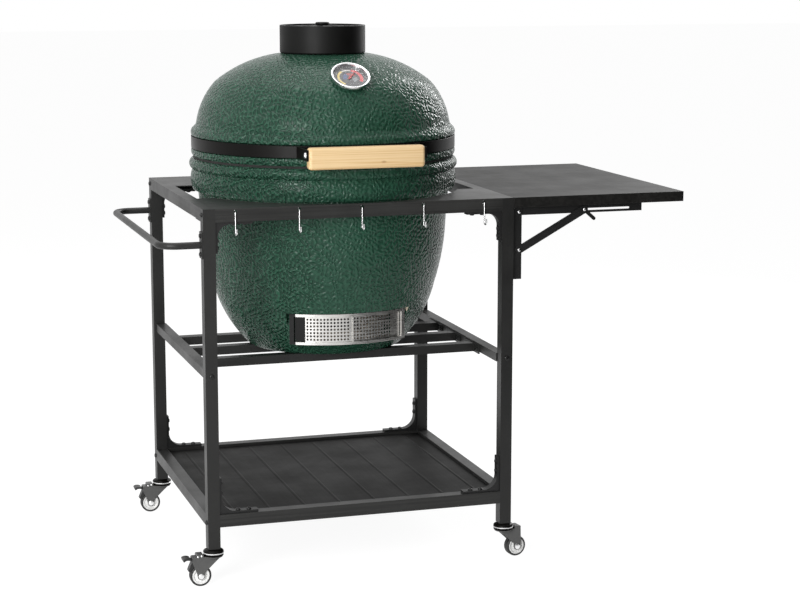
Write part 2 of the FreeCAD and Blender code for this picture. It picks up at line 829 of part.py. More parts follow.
def fork(with_pedal):
    """Stamped fork under its race, with axle, nuts and rivets."""
    toe = fork_toe
    out = pedal_x + cheek_rim if with_pedal else hood_out
    low = pedal_z - cheek_rim if with_pedal else crown_low - 3.0
    steps = [(out, crown_low), (out, low), (trail + toe, wheel_radius + 6),
             (trail + toe, wheel_radius), ((trail, wheel_radius - toe), (trail - toe, wheel_radius)),
             (trail - toe - 2, wheel_radius + 8), (-12, crown_low)]
    cheek = plate_xz((-12, race_low), [(out, race_low)] + steps, -fork_half, -fork_gap / 2)
    body = [cheek, flip_y(cheek)]
    crown = Part.makeCylinder(disc_radius - 2, race_low - crown_low, V(0, 0, crown_low))
    body.append(crown)
    body.append(box(0, out, -fork_half, fork_half, crown_low, race_low))
    body.append(Part.makeCylinder(disc_radius - 0.5, race_height, V(0, 0, race_low)))
    hood = box(hood_in, hood_out, -fork_half, fork_half, crown_low, hood_top)
    inner = box(hood_in + fork_sheet, hood_out - fork_sheet, -fork_gap / 2, fork_gap / 2,
                crown_low, hood_top - fork_sheet)
    whole = joined(body[0], *body[1:], hood)
    whole = whole.cut([inner, Part.makeCylinder(stem_radius + turn_fit, 30, V(0, 0, crown_low - 5))])
    axle_end = fork_half + axle_nut_height
    whole = whole.cut(pin_y(axle_radius, trail, wheel_radius, -fork_half, fork_half))
    if with_pedal:
        whole = whole.cut(pin_y(pedal_pin, pedal_x, pedal_z, -fork_half, fork_half))
    axle = joined(pin_y(axle_radius, trail, wheel_radius, -axle_end, axle_end),
                  pin_y(axle_nut, trail, wheel_radius, -axle_end, -fork_half),
                  pin_y(axle_nut, trail, wheel_radius, fork_half, axle_end))
    pieces = [whole, axle]
    if with_pedal:
        pieces.append(pin_y(pedal_pin, pedal_x, pedal_z, -fork_half - 0.8, fork_half + 0.8))
        for x, z in ((hood_in + 4.0, race_high - 2.0), (hood_out - 2.5, race_high - 3.0)):
            pieces.append(pin_y(fork_rivet, x, z, -fork_half - fork_rivet_height, -fork_half))
            pieces.append(pin_y(fork_rivet, x, z, fork_half, fork_half + fork_rivet_height))
    return pieces


def wheel():
    """Pale hub with a thin tread, turning on the axle."""
    half = wheel_width / 2
    rim = wheel_radius - wheel_tread
    bore = axle_radius + turn_fit
    hub = outline(on_xz, (bore, -half), [(7.5, -half), (9.0, -half + 2.5), (rim - 3.0, -half + 2.5),
                  (rim - 1.5, -half + 0.5), (rim, -half + 0.5), (rim, half - 0.5), (rim - 1.5, half - 0.5),
                  (rim - 3.0, half - 2.5), (9.0, half - 2.5), (7.5, half), (bore, half)])
    hub = hub.revolve(ORIGIN, UP, 360)
    edge = wheel_edge
    turn = edge * (1 - math.sqrt(0.5))
    far = wheel_radius
    tread = spun((rim, -half), [(far - edge, -half), ((far - turn, -half + turn), (far, -half + edge)),
                 (far, half - edge), ((far - turn, half - turn), (far - edge, half)), (rim, half)])
    pieces = []
    for piece in (hub, tread):
        pieces.append(moved(turned(piece, 90, ORIGIN, RIGHT), V(trail, 0, wheel_radius)))
    return pieces


def pedal():
    """Brake pedal with its shoe resting just off the tread."""
    barrel = pin_y(4.0, pedal_x, pedal_z, -fork_gap / 2 + move_gap, fork_gap / 2 - move_gap)
    t = pedal_sheet
    lift = pedal_z + 2.0
    far = pedal_reach
    near = pedal_x + 5.0
    middle = (near + far) / 2
    arm = plate_xz((pedal_x, lift - t), [(near, lift - t), ((middle, lift + 2.5 - t), (far, lift - t)),
                   (far + 1.5, lift + 1.0), (far, lift + 2.0), ((middle, lift + 2.5), (near, lift)),
                   (pedal_x, lift)], -8.8, 8.8)
    tread_face = plate_xz((near + 3.0, lift + 0.5), [((middle, lift + 2.5 - t / 2), (far, lift - t)),
                          (far + 1.5, lift + 1.0), (far, lift + 3.5),
                          ((middle, lift + 4.5), (near + 3.0, lift + 3.0))], -12.0, 12.0)
    reach = wheel_radius + 0.4
    shoe_angle = math.radians(38)
    shoe_x = trail + reach * math.cos(shoe_angle)
    shoe_z = wheel_radius + reach * math.sin(shoe_angle)
    shoe = plate_xz((pedal_x - 3.0, pedal_z), [(pedal_x + 3.5, pedal_z), (shoe_x + 8.0, shoe_z - 2.0),
                    (shoe_x + 5.0, shoe_z - 5.0), (shoe_x - 3.0, shoe_z + 3.0)], -7.5, 7.5)
    shoe = shoe.cut(pin_y(reach, trail, wheel_radius, -10, 10))
    whole = joined(barrel, arm, tread_face, shoe)
    return [whole.cut(pin_y(pedal_pin + turn_fit, pedal_x, pedal_z, -12, 12))]


def placed(pieces, corner, degrees):
    return [moved(turned(piece, degrees), corner) for piece in pieces]


corners = {"fl": (-1, -1, 180.0), "bl": (-1, 1, 180.0),
           "fr": (1, -1, right_turn), "br": (1, 1, right_turn)}
mounts = []
for name, (sx, sy, degrees) in corners.items():
    corner = V(sx * post_x, sy * post_y, 0)
    braked = sx < 0
    mounts.extend(placed(caster_mount(), corner, 0))
    save("fork_" + name, placed(fork(braked), corner, degrees))
    save("wheel_" + name, placed(wheel(), corner, degrees))
    if braked:
        save("pedal_" + name, placed(pedal(), corner, degrees))
save("caster_mounts", mounts)


# Grill base
def gp(radius, rise):
    return (g(radius), up(rise))


base_outer = spun(gp(0, -332.6), [gp(162, -332.6), gp(166, -330),
                  (gp(206.5, -280), gp(239.5, -200)), (gp(255, -136), gp(262, -72)),
                  gp(268, 0), gp(268, 2), gp(279, 2.5), (gp(283.4, 23), gp(279.2, 45)),
                  (gp(286, 57), gp(278, seam_low)), gp(0, seam_low)])
base_inner = spun(gp(0, -308), [gp(158, -308), (gp(184, -272), gp(215, -200)),
                  (gp(231, -136), gp(238, -72)), gp(244, 0), gp(254, 35), gp(254, seam_low),
                  gp(0, seam_low)])
pad_half = draft_half + 1.5
pad_low = up(draft_low) - 2
pad_high = up(draft_high) + 2
pad = sector(g(170), g(draft_face), pad_low, pad_high, -pad_half, pad_half)
niche = sector(g(draft_face), g(300), pad_low, pad_high, -pad_half, pad_half)
door_way = sector(g(way_inner), g(300), up(draft_low) + draft_rail + air_clear,
                  up(draft_high) - draft_rail - air_clear,
                  -draft_hole, draft_hole)
base = joined(base_outer, pad).cut([base_inner, niche, door_way])
save("base_shell", [base])

# Firebox with its ledge, draft slit and air holes
firebox = spun(gp(95, -308), [gp(150, -308), gp(206, -128), gp(186, -128), gp(152, -222), gp(128, -222),
               gp(128, -290), gp(95, -290)])
slit = sector(g(100), g(200), up(-284), up(-252), -20, 20)
air = []
for i in range(12):
    angle = math.radians(i * 30 + 15)
    start = V(g(120) * math.cos(angle), g(120) * math.sin(angle), up(-182))
    air.append(rod(g(6), start, start + V(g(100) * math.cos(angle), g(100) * math.sin(angle), 0)))
save("firebox", [firebox.cut([slit] + air)])
save("fire_ring", [spun(gp(186, -128), [gp(206, -128), gp(234, 44), gp(214, 44)])])

# Charcoal grate: a cast disc with slots
disc = Part.makeCylinder(g(148), g(9), V(0, 0, up(-222)))
slots = []
for i in range(-7, 8):
    x = g(18.0) * i
    reach = math.sqrt(g(134) ** 2 - x ** 2)
    for y0, y1 in ((-reach, -g(5)), (g(5), reach)):
        if y1 - y0 > g(12):
            slots.append(box(x - g(4.5), x + g(4.5), y0, y1, up(-223), up(-212)))
save("charcoal_grate", [disc.cut(slots)])

# Cooking grate: a rim with round bars
rim = ring(g(224), g(232), up(44), up(50))
bars = []
for i in range(grate_rods):
    x = (i - (grate_rods - 1) / 2) * g(grate_pitch)
    reach = math.sqrt(g(228) ** 2 - x ** 2)
    bars.append(rod(g(2.4), V(x, -reach, up(47.2)), V(x, reach, up(47.2))))
for y in (-g(90), g(90)):
    reach = math.sqrt(g(228) ** 2 - y ** 2)
    bars.append(rod(g(2.4), V(-reach, y, up(46.6)), V(reach, y, up(46.6))))
save("cooking_grate", [joined(rim, *bars)])

gasket_gap = move_gap / 2
gasket_mid = (up(seam_low) + up(seam_high)) / 2
save("base_gasket", [ring(g(gasket_inner), g(gasket_outer), up(seam_low), gasket_mid - gasket_gap)])
save("dome_gasket", [ring(g(gasket_inner), g(gasket_outer), gasket_mid + gasket_gap, up(seam_high))])

# Dome with its channel for the band
channel = 276.0
dome_outside = [gp(92, cap_low), (gp(171, 264), gp(229, 228)), (gp(254, 192), gp(269.5, 144)),
                gp(271, 138), gp(277, 132), (gp(281.5, 124), gp(280.5, 117)), gp(channel, band_high),
                gp(channel, band_low), gp(280.5, 88), (gp(281.2, 80), gp(278, seam_high))]
dome_inside = [gp(256, seam_high), gp(256, 118), gp(245.5, 144), (gp(231.5, 184), gp(208, 213)),
               (gp(158, 243), gp(chimney_radius, 263))]
dome_wall = spun(gp(chimney_radius, cap_low), dome_outside + dome_inside)
dial_at = V(0, -g(dial_out), up(dial_up))
dial_axis = V(0, -math.sin(math.radians(dial_tilt)), math.cos(math.radians(dial_tilt)))
dome = dome_wall.cut(rod(5.0, dial_at + dial_axis * 30, dial_at - dial_axis * 50))
save("dome_shell", [dome])
band_outer = channel + band_thick
save("dome_band", [ring(g(channel), g(band_outer), up(band_low), up(band_high))])

# Lid hinge: ears on brackets shaped to the ceramic
hinge_at = V(0, g(hinge_back), up(hinge_up))
block_out = g(hinge_block_back)


def hinge_ear_solid(x0, x1, block_z0, block_z1):
    """Ear from a bracket's back face to the pin."""
    y = hinge_at.y
    z = hinge_at.z
    inner = block_out - g(8)
    web = plate_yz((inner, block_z0), [(inner, block_z1), (y, z + hinge_ear), (y, z - hinge_ear)], x0, x1)
    eye = rod(hinge_ear, V(x0, y, z), V(x1, y, z))
    return joined(web, eye)


def hinge_hole(radius):
    return rod(radius, V(-g(100), hinge_at.y, hinge_at.z), V(g(100), hinge_at.y, hinge_at.z))


def screw_heads(z):
    heads = []
    for angle in (-hinge_screw_angle, hinge_screw_angle):
        a = math.radians(angle)
        out = V(math.sin(a), math.cos(a), 0)
        seat = out * block_out + V(0, 0, z)
        heads.append(rod(hinge_screw_head, seat, seat + out * hinge_screw_height))
    return heads


def from_the_back(inner, outer, z0, z1):
    return sector(inner, outer, z0, z1, 180 - hinge_spread, 180 + hinge_spread)


ear_a = hinge_ear_in
ear_b = ear_a + hinge_ear_thick
low_block = from_the_back(g(hinge_block_in), block_out, up(low_block_low), up(low_block_high))
low_ears = []
for sx in (-1, 1):
    low_ears.append(hinge_ear_solid(min(sx * ear_a, sx * ear_b), max(sx * ear_a, sx * ear_b),
                                    up(36), up(62)))
low_bracket = joined(low_block, *low_ears).cut([base_outer, hinge_hole(hinge_pin_radius)])
low_bracket = max(low_bracket.Solids, key=lambda solid: solid.Volume)
save("hinge_base_bracket", [low_bracket] + screw_heads(up(low_screw_up)))

dome_full = spun(gp(0, cap_low), dome_outside + [gp(0, seam_high)])
high_block = from_the_back(g(hinge_block_in), block_out, up(high_block_low), up(high_block_high))
high_ears = []
for sx in (-1, 1):
    a = ear_a - move_gap
    b = a - hinge_ear_thick
    high_ears.append(hinge_ear_solid(min(sx * a, sx * b), max(sx * a, sx * b), up(79), up(112)))
band_disc = ring(g(200), g(band_outer), up(band_low), up(band_high))
high_bracket = joined(high_block, *high_ears).cut([dome_full, band_disc,
                                                   hinge_hole(hinge_pin_radius + turn_fit)])
high_bracket = max(high_bracket.Solids, key=lambda solid: solid.Volume)
save("hinge_dome_bracket", [high_bracket] + screw_heads(up(high_screw_up)))
pin_half = ear_b + hinge_pin_cap_thick
hinge_pin = rod(hinge_pin_radius, V(-pin_half, hinge_at.y, hinge_at.z),
                V(pin_half, hinge_at.y, hinge_at.z))
pin_caps = []
for sx in (-1, 1):
    pin_caps.append(rod(hinge_pin_cap, V(sx * ear_b, hinge_at.y, hinge_at.z),
                        V(sx * pin_half, hinge_at.y, hinge_at.z)))
save("hinge_pin", [joined(hinge_pin, *pin_caps)])

# Wooden handle between two straps that come forward from the band
wood_z0 = up(wood_low)
wood_z1 = wood_z0 + wood_height
wood_y = -g(wood_middle)
wood = box(-wood_length / 2, wood_length / 2, wood_y - wood_depth / 2, wood_y + wood_depth / 2,
           wood_z0, wood_z1)
wood = wood.makeFillet(wood_round, wood.Edges)
strap_x = wood_length / 2
strap_z0 = up(band_low) + 2.0
strap_z1 = up(band_high) - 1.0
screw_z = (strap_z0 + strap_z1) / 2
band_r = g(band_outer)
strap_angle = math.degrees(math.asin((strap_x + strap_thick / 2) / band_r))
straps = []
screws = []
wood_holes = []
for sx in (-1, 1):
    arm = box(sx * strap_x, sx * (strap_x + strap_thick), wood_y - strap_reach, -band_r * 0.8,
              strap_z0, strap_z1)
    arm = arm.cut(Part.makeCylinder(band_r, 200, V(0, 0, strap_z0 - 50)))
    foot_from = sx * strap_angle - (4 if sx > 0 else 6)
    foot = sector(band_r, band_r + strap_foot, strap_z0, strap_z1, foot_from, foot_from + 10)
    strap = joined(arm, foot)
    outer_x = sx * (strap_x + strap_thick)
    screw = rod(wood_screw, V(sx * (strap_x - wood_screw_in), wood_y, screw_z),
                V(outer_x, wood_y, screw_z))
    head = rod(wood_screw_head, V(outer_x, wood_y, screw_z),
               V(outer_x + sx * wood_screw_height, wood_y, screw_z))
    screws.append(joined(screw, head))
    tap = rod(wood_screw, V(sx * (strap_x - wood_screw_in), wood_y, screw_z),
              V(sx * (strap_x + 20), wood_y, screw_z))
    wood_holes.append(tap)
    straps.append(strap.cut(tap))
save("handle_brackets", straps)
save("wooden_handle", [wood.cut(wood_holes)])
save("handle_bolts", screws)


# Chimney cap: fixed collar with a slotted plate, and a slotted disc that turns on it
def slots_of(inner, outer, z0, z1, start):
    step = 360.0 / vent_slots
    cuts = []
    for i in range(vent_slots):
        middle = start + i * step
        cuts.append(sector(inner, outer, z0, z1, middle - vent_slot_angle / 2, middle + vent_slot_angle / 2))
    return cuts


plate_top = up(cap_high) - cap_sunk
disc_high = plate_top + move_gap
bore = g(84.5)
collar = spun((g(chimney_radius), up(cap_low)), [(g(cap_radius) - 3, up(cap_low)),
              (g(cap_radius), up(cap_low) + 3), (g(cap_radius), up(cap_high) - 1),
              (g(cap_radius) - 1, up(cap_high)), (bore, up(cap_high)), (bore, plate_top),
              (pivot_radius + turn_fit, plate_top), (pivot_radius + turn_fit, plate_top - cap_plate),
              (g(80), plate_top - cap_plate), (g(80), up(cap_low) + cap_foot),
              (g(chimney_radius), up(cap_low) + cap_foot)])
save("vent_collar", [collar.cut(slots_of(g(slot_inner), g(slot_outer), plate_top - cap_plate - 1,
                                         plate_top + 1, 0))])
lid = spun((pivot_radius, disc_high),
           [(bore - 2 * move_gap, disc_high), (bore - 2 * move_gap, disc_high + vent_sheet),
           (knob_radius + 3, disc_high + vent_boss), (pivot_radius, disc_high + vent_boss)])
half_step = 180.0 / vent_slots
save("vent_disc", [lid.cut(slots_of(g(slot_inner), g(slot_outer), disc_high - 1, disc_high + 9, half_step))])
knob_low = disc_high + vent_boss
knob = spun((0, plate_top - 12), [(pivot_radius, plate_top - 12), (pivot_radius, knob_low),
            (knob_radius - 2, knob_low),
            ((knob_radius, knob_low + 3), (knob_radius - 2, knob_low + knob_rise - 0.5)),
            (0, knob_low + knob_rise)])
keeper_top = plate_top - cap_plate - move_gap
keeper = ring(pivot_radius, 7.0, keeper_top - vent_sheet, keeper_top)
save("vent_knob", [knob, keeper])

# Thermometer, built upright at the origin and then laid on the dome
rim_in = dial_radius - dial_rim


def on_dome(shape):
    return moved(turned(shape, dial_tilt, ORIGIN, RIGHT), dial_at)


case = spun((0, -dial_stem_length), [(dial_stem, -dial_stem_length), (dial_stem, 0.5),
            (dial_radius - 6, 0.5), (dial_radius, 4.5),
            (dial_radius, dial_depth - 1.5),
            ((dial_radius - 0.6, dial_depth - 0.5), (dial_radius - 1.5, dial_depth)),
            (rim_in, dial_depth - 1.0), (rim_in, dial_floor), (0, dial_floor)])
save("thermometer_case", [on_dome(case)])
dial = ring(spindle_radius + turn_fit, rim_in, dial_floor, dial_floor + 2 * dial_sheet)
save("thermometer_dial", [on_dome(dial)])
lens = Part.makeCylinder(rim_in, lens_sheet, V(0, 0, dial_depth - lens_drop - lens_sheet))
save("thermometer_lens", [on_dome(lens)])
blade = plate_xy((-1.6, -7), [(1.6, -7), (0.5, needle_length), (-0.5, needle_length)],
                 needle_low, needle_high)
hub = Part.makeCylinder(3.0, 1.6, V(0, 0, needle_low - 0.3))
spindle_low = dial_floor + 0.5
spindle = Part.makeCylinder(spindle_radius, needle_low - 0.1 - spindle_low, V(0, 0, spindle_low))
needle = turned(joined(blade, hub, spindle), -needle_turn)
save("thermometer_needle", [on_dome(needle)])

# Draft door: frame with two grooves in each rail, a perforated screen and a door behind it
d0 = g(draft_face)
d1 = d0 + draft_frame
z_low = up(draft_low)
z_high = up(draft_high)
frame = sector(d0, d1, z_low, z_high, -draft_half, draft_half)
frame = frame.cut(sector(d0 - 1, d1 + 1, z_low + draft_rail, z_high - draft_rail,
                         -draft_half + draft_stile, draft_half - draft_stile))
screen_r = d0 + screen_out
door_r = d0 + door_out
for r in (screen_r, door_r):
    frame = frame.cut(sector(r - move_gap, r + draft_panel + move_gap,
                             z_low + draft_rail - draft_groove, z_high - draft_rail + draft_groove,
                             -draft_half + draft_stile, draft_half - draft_stile))
save("draft_frame", [frame])
panel_z0 = z_low + draft_rail - draft_groove + 0.4
panel_z1 = z_high - draft_rail + draft_groove - 0.4
panel_end = draft_half - draft_stile - 0.5
panel_lap = 0.7


def perforated(panel, radius, angle0, angle1):
    """Panel with rows of round holes between two angles."""
    step = math.degrees(screen_pitch / radius)
    count = int((angle1 - angle0) / step) + 1
    middle = (z_low + z_high) / 2
    tools = []
    for i in range(count):
        angle = math.radians((angle0 + angle1) / 2 + (i - (count - 1) / 2) * step)
        out = V(math.sin(angle), -math.cos(angle), 0)
        for j in range(screen_rows):
            z = middle + (j - (screen_rows - 1) / 2) * screen_pitch
            tools.append(rod(screen_hole, out * (radius - 3) + V(0, 0, z), out * (radius + 5) + V(0, 0, z)))
    return panel.cut(tools)


screen = sector(screen_r, screen_r + draft_panel, panel_z0, panel_z1, -panel_end, panel_lap)
screen = perforated(screen, screen_r, -panel_end + 2, panel_lap - 2)
screen_pull = sector(screen_r, d1 + 2.0, z_low + draft_rail + 0.5, z_high - draft_rail - 0.5, 0.1, panel_lap)
save("screen_slide", [joined(screen, screen_pull)])
door = sector(door_r, door_r + draft_panel, panel_z0, panel_z1, -panel_lap, panel_end)
door = perforated(door, door_r, -panel_lap + 2, panel_end - 7)
finger = math.radians(panel_end - 3.2)
finger_out = V(math.sin(finger), -math.cos(finger), 0)
finger_z = V(0, 0, (z_low + z_high) / 2)
door = door.cut(rod(6.0, finger_out * (door_r - 3) + finger_z, finger_out * (door_r + 4) + finger_z))
save("door_slide", [door])
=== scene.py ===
import bmesh
import bpy
import math
from mathutils import Matrix, Vector


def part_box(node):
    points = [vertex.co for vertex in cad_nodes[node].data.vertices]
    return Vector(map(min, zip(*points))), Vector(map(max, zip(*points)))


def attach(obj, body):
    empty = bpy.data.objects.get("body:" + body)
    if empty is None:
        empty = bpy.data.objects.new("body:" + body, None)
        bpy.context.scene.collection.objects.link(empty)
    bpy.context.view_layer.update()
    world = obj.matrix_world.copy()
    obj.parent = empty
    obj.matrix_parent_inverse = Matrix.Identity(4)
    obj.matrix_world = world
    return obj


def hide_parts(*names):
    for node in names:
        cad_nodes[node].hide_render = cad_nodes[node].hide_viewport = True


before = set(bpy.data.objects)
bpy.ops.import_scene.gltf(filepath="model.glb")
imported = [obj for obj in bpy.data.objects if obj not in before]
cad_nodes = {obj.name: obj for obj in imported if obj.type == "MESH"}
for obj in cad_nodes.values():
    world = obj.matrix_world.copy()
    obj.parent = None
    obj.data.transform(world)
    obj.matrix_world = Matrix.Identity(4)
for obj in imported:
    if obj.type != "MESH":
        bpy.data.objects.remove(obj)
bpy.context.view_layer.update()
post_low, post_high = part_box("posts")
GRILL = Vector(((post_low[0] + post_high[0]) / 2, (post_low[1] + post_high[1]) / 2, 0.0))


# Nodes for finishes and for shapes

class Value:
    """A socket that sums can be written with."""

    def __init__(self, board, socket):
        self.board = board
        self.socket = socket

    def other(self, name):
        return Value(self.board, self.socket.node.outputs[name])

    def __add__(self, b):
        return self.board.calc("ADD", self, b)

    def __radd__(self, a):
        return self.board.calc("ADD", a, self)

    def __sub__(self, b):
        return self.board.calc("SUBTRACT", self, b)

    def __rsub__(self, a):
        return self.board.calc("SUBTRACT", a, self)

    def __mul__(self, b):
        return self.board.calc("MULTIPLY", self, b)

    def __pow__(self, b):
        return self.board.calc("POWER", self, b)

    def __gt__(self, b):
        return self.board.calc("GREATER_THAN", self, b)

    def __lt__(self, b):
        return self.board.calc("LESS_THAN", self, b)


class Board:
    """A node tree, shader or shape, with one way to add any node."""

    def __init__(self, tree):
        self.tree = tree

    def add(self, kind, settings=None, out=0, **inputs):
        node = self.tree.nodes.new(kind)
        for key, value in (settings or {}).items():
            setattr(node, key, value)
        for key, value in inputs.items():
            name = key.replace("_", " ")
            sockets = [s for s in node.inputs if s.enabled and s.name == name]
            self.feed(sockets[0], value)
        return Value(self, node.outputs[out]) if len(node.outputs) else node

    def feed(self, socket, value):
        if isinstance(value, Value):
            self.tree.links.new(value.socket, socket)
        elif socket.type == "RGBA":
            socket.default_value = (*value[:3], 1.0)
        else:
            socket.default_value = value

    def calc(self, operation, *values):
        node = self.tree.nodes.new("ShaderNodeMath")
        node.operation = operation
        for socket, value in zip(node.inputs, values):
            self.feed(socket, value)
        return Value(self, node.outputs[0])

    def span(self, value, low, high, to_low=0.0, to_high=1.0, kind="SMOOTHSTEP"):
        """A value eased from one span to another and kept inside it."""
        return self.add("ShaderNodeMapRange", {"interpolation_type": kind, "clamp": kind == "LINEAR"},
                        out="Result", Value=value, From_Min=low, From_Max=high,
                        To_Min=to_low, To_Max=to_high)

    def blend(self, factor, a, b, kind="MIX"):
        return self.add("ShaderNodeMix", {"data_type": "RGBA", "blend_type": kind}, out=2,
                        Factor=factor, A=a, B=b)

    def sharply_seen(self):
        """1 for what the camera, a mirror or glass sees, 0 for what only lights the scene."""
        path = self.add("ShaderNodeLightPath", out="Is Camera Ray")
        seen = self.calc("MAXIMUM", path, path.other("Is Glossy Ray"))
        return self.calc("MAXIMUM", seen, path.other("Is Transmission Ray"))

    def joined(self, kind, *sockets):
        """A mixing or adding node, fed by place because its sockets share a name."""
        both = self.add(kind)
        for socket, value in zip(both.socket.node.inputs, sockets):
            self.feed(socket, value)
        return both


class Finish(Board):
    """The material of one kind of surface."""

    def __init__(self, name):
        self.material = bpy.data.materials.new(name)
        self.material.use_nodes = True
        super().__init__(self.material.node_tree)
        self.tree.nodes.clear()

    def place(self, stretch=(1, 1, 1)):
        """Object coordinates from the grill's axis, stretched."""
        point = self.add("ShaderNodeTexCoord", out="Object")
        return self.add("ShaderNodeMapping", Vector=point, Scale=stretch,
                        Location=tuple(-g * s for g, s in zip(GRILL, stretch)))

    def parts(self, vector):
        x = self.add("ShaderNodeSeparateXYZ", Vector=vector)
        return x, x.other("Y"), x.other("Z")

    def grain(self, size, stretch=(1, 1, 1), detail=3.0, rough=0.5, wander=0.0):
        """Noise from 0 to 1 whose marks are about size metres across."""
        scale = tuple(s / size for s in stretch)
        return self.add("ShaderNodeTexNoise", {"noise_dimensions": "3D"}, out="Fac",
                        Vector=self.place(scale), Scale=1.0, Detail=detail, Roughness=rough,
                        Distortion=wander)

    def bump(self, height, depth):
        return self.add("ShaderNodeBump", Height=height, Distance=depth, Strength=1.0)

    def surface(self, colour, rough, metal=0.0, **more):
        shader = self.add("ShaderNodeBsdfPrincipled", Base_Color=colour, Roughness=rough,
                          Metallic=metal, **more)
        return self.done(shader)

    def done(self, shader):
        self.add("ShaderNodeOutputMaterial", Surface=shader)
        return self.material


# Finishes

WORM_PITCH = 0.0084  # glaze ridges, crest to crest
WORM_SPREAD = 0.24  # how much the pitch differs between waves
WORM_WAVES = 7  # plane waves that add up to the ridges
WORM_DRIFT = 0.034  # size of the swirls that bend the ridges
WORM_BEND = 0.012  # how far the swirls push them
WORM_DEPTH = 0.0022
GOLDEN_TURN = 2.39996  # turn between one wave and the next
GOLDEN_SHARE = 0.618
KNOT = (0.033, 0.855)  # the handle's knot, across from the grill's axis and up
STEEL = (0.62, 0.61, 0.59)
BRUSH = (0.05, 0.05, 1.0)  # brushing runs round the grill
BRUSH_SIZE = 0.0012


def powder_coat(name, colour, along=None, gloss=0.42, shine=0.32):
    """Satin powder coat, with fine lengthwise lines where a sheet is drawn along an axis."""
    f = Finish(name)
    cloud = f.grain(0.11, detail=4.0, rough=0.6)
    speck = f.grain(0.0011, detail=2.0, rough=0.6)
    tone = f.span(cloud, 0.3, 0.7, 0.9, 1.1)
    height = speck
    if along is not None:
        stretch = [1.0, 1.0, 1.0]
        stretch[along] = 0.012
        lines = f.grain(0.006, tuple(stretch), detail=3.0, rough=0.65)
        tone = tone * f.span(lines, 0.34, 0.66, 0.70, 1.32)
        height = speck * 0.5 + lines * 0.8
    base = f.blend(f.span(tone, 0.7, 1.35, kind="LINEAR"),
                   tuple(c * 0.7 for c in colour), tuple(c * 1.4 for c in colour))
    rough = f.span(cloud, 0.25, 0.75, gloss - 0.05, gloss + 0.07) + (speck - 0.5) * 0.06
    return f.surface(base, rough, Normal=f.bump(height, 0.00006), IOR=1.5, Specular_IOR_Level=shine)


def worm_glaze(name):
    """Deep green glaze over a raised pattern of short curled ridges, darker in the grooves: partly
    glaze pooled there, partly painted shade, stronger at the left and right as painted grazing light.
    """
    f = Finish(name)
    drift = f.add("ShaderNodeTexNoise", {"noise_dimensions": "3D"}, out="Color",
                  Vector=f.place((1 / WORM_DRIFT,) * 3), Scale=1.0, Detail=1.5)
    x, y, z = f.parts(f.blend(WORM_BEND, f.place(), drift, "LINEAR_LIGHT"))
    field = 0.0
    for i in range(WORM_WAVES):
        rise = (i + 0.5) / WORM_WAVES
        flat = math.sqrt(1.0 - rise * rise)
        turn = i * GOLDEN_TURN
        pull = math.tau / (WORM_PITCH * (0.88 + WORM_SPREAD * (i * GOLDEN_SHARE % 1.0)))
        field = field + f.calc("SINE", x * (pull * flat * math.cos(turn))
                               + y * (pull * flat * math.sin(turn)) + z * (pull * rise))
    across, _, _ = f.parts(f.place())
    # Stronger at the left and right of the grill: deeper bumps there, and through the colour below,
    # painted grazing light at the sides
    relief = f.span(f.calc("ABSOLUTE", across - 0.02), 0.05, 0.21, 0.60, 1.75)
    height = f.span(field, -3.1, 3.1)
    cloud = f.grain(0.16, detail=3.0)
    # Grooves darker, ridges lighter: partly glaze pooling, partly painted shade in the grooves
    groove_shade_and_pooling = f.blend((height - 0.5) * relief + 0.5, (0.0120, 0.0440, 0.0275), (0.0250, 0.0830, 0.0520))
    shade = f.blend(f.span(cloud, 0.3, 0.7), (0.88, 0.92, 0.90), (1.08, 1.06, 1.06))
    base = f.blend(1.0, groove_shade_and_pooling, shade, "MULTIPLY")
    rough = f.span(height, 0.0, 1.0, 0.29, 0.19)
    return f.surface(base, rough, Normal=f.bump(height * relief, WORM_DEPTH), Coat_Weight=0.04,
                     Coat_Roughness=0.14, IOR=1.5, Specular_IOR_Level=0.18)


def pale_pine(name):
    """Planed pine with its grain along the bar."""
    f = Finish(name)
    rings = f.grain(0.013, (0.012, 0.8, 1.0), detail=2.0, rough=0.5, wander=0.1)
    fibre = f.grain(0.0016, (0.012, 1.0, 1.0), detail=3.0, rough=0.6)
    band = f.calc("PINGPONG", rings * 7.0, 0.5) * 2.0
    late = f.span(band, 0.35, 1.0)
    x, _, z = f.parts(f.place())
    off = ((x - KNOT[0]) * (x - KNOT[0]) * 0.2 + (z - KNOT[1]) * (z - KNOT[1])) ** 0.5
    knot = f.span(off, 0.0008, 0.0034, 1.0, 0.0)
    base = f.blend(late * 0.75, (0.80, 0.585, 0.325), (0.64, 0.40, 0.165))
    base = f.blend(f.span(fibre, 0.4, 0.8) * 0.35, base, (0.56, 0.33, 0.13))
    base = f.blend(knot * 0.6, base, (0.36, 0.17, 0.06))
    rough = f.span(fibre, 0.3, 0.7, 0.42, 0.56)
    return f.surface(base, rough, Normal=f.bump(fibre * 0.6 + late * 0.4, 0.00012), Coat_Weight=0.12,
                     Coat_Roughness=0.3)


def bright_metal(name, colour, rough):
    """Polished metal."""
    f = Finish(name)
    cloud = f.grain(0.03, detail=3.0)
    value = f.span(cloud, 0.3, 0.7, rough * 0.8, rough * 1.3)
    tone = f.blend(f.span(cloud, 0.3, 0.7), tuple(c * 0.94 for c in colour), colour)
    return f.surface(tone, value, 1.0, Normal=f.bump(f.grain(0.002), 0.00001))


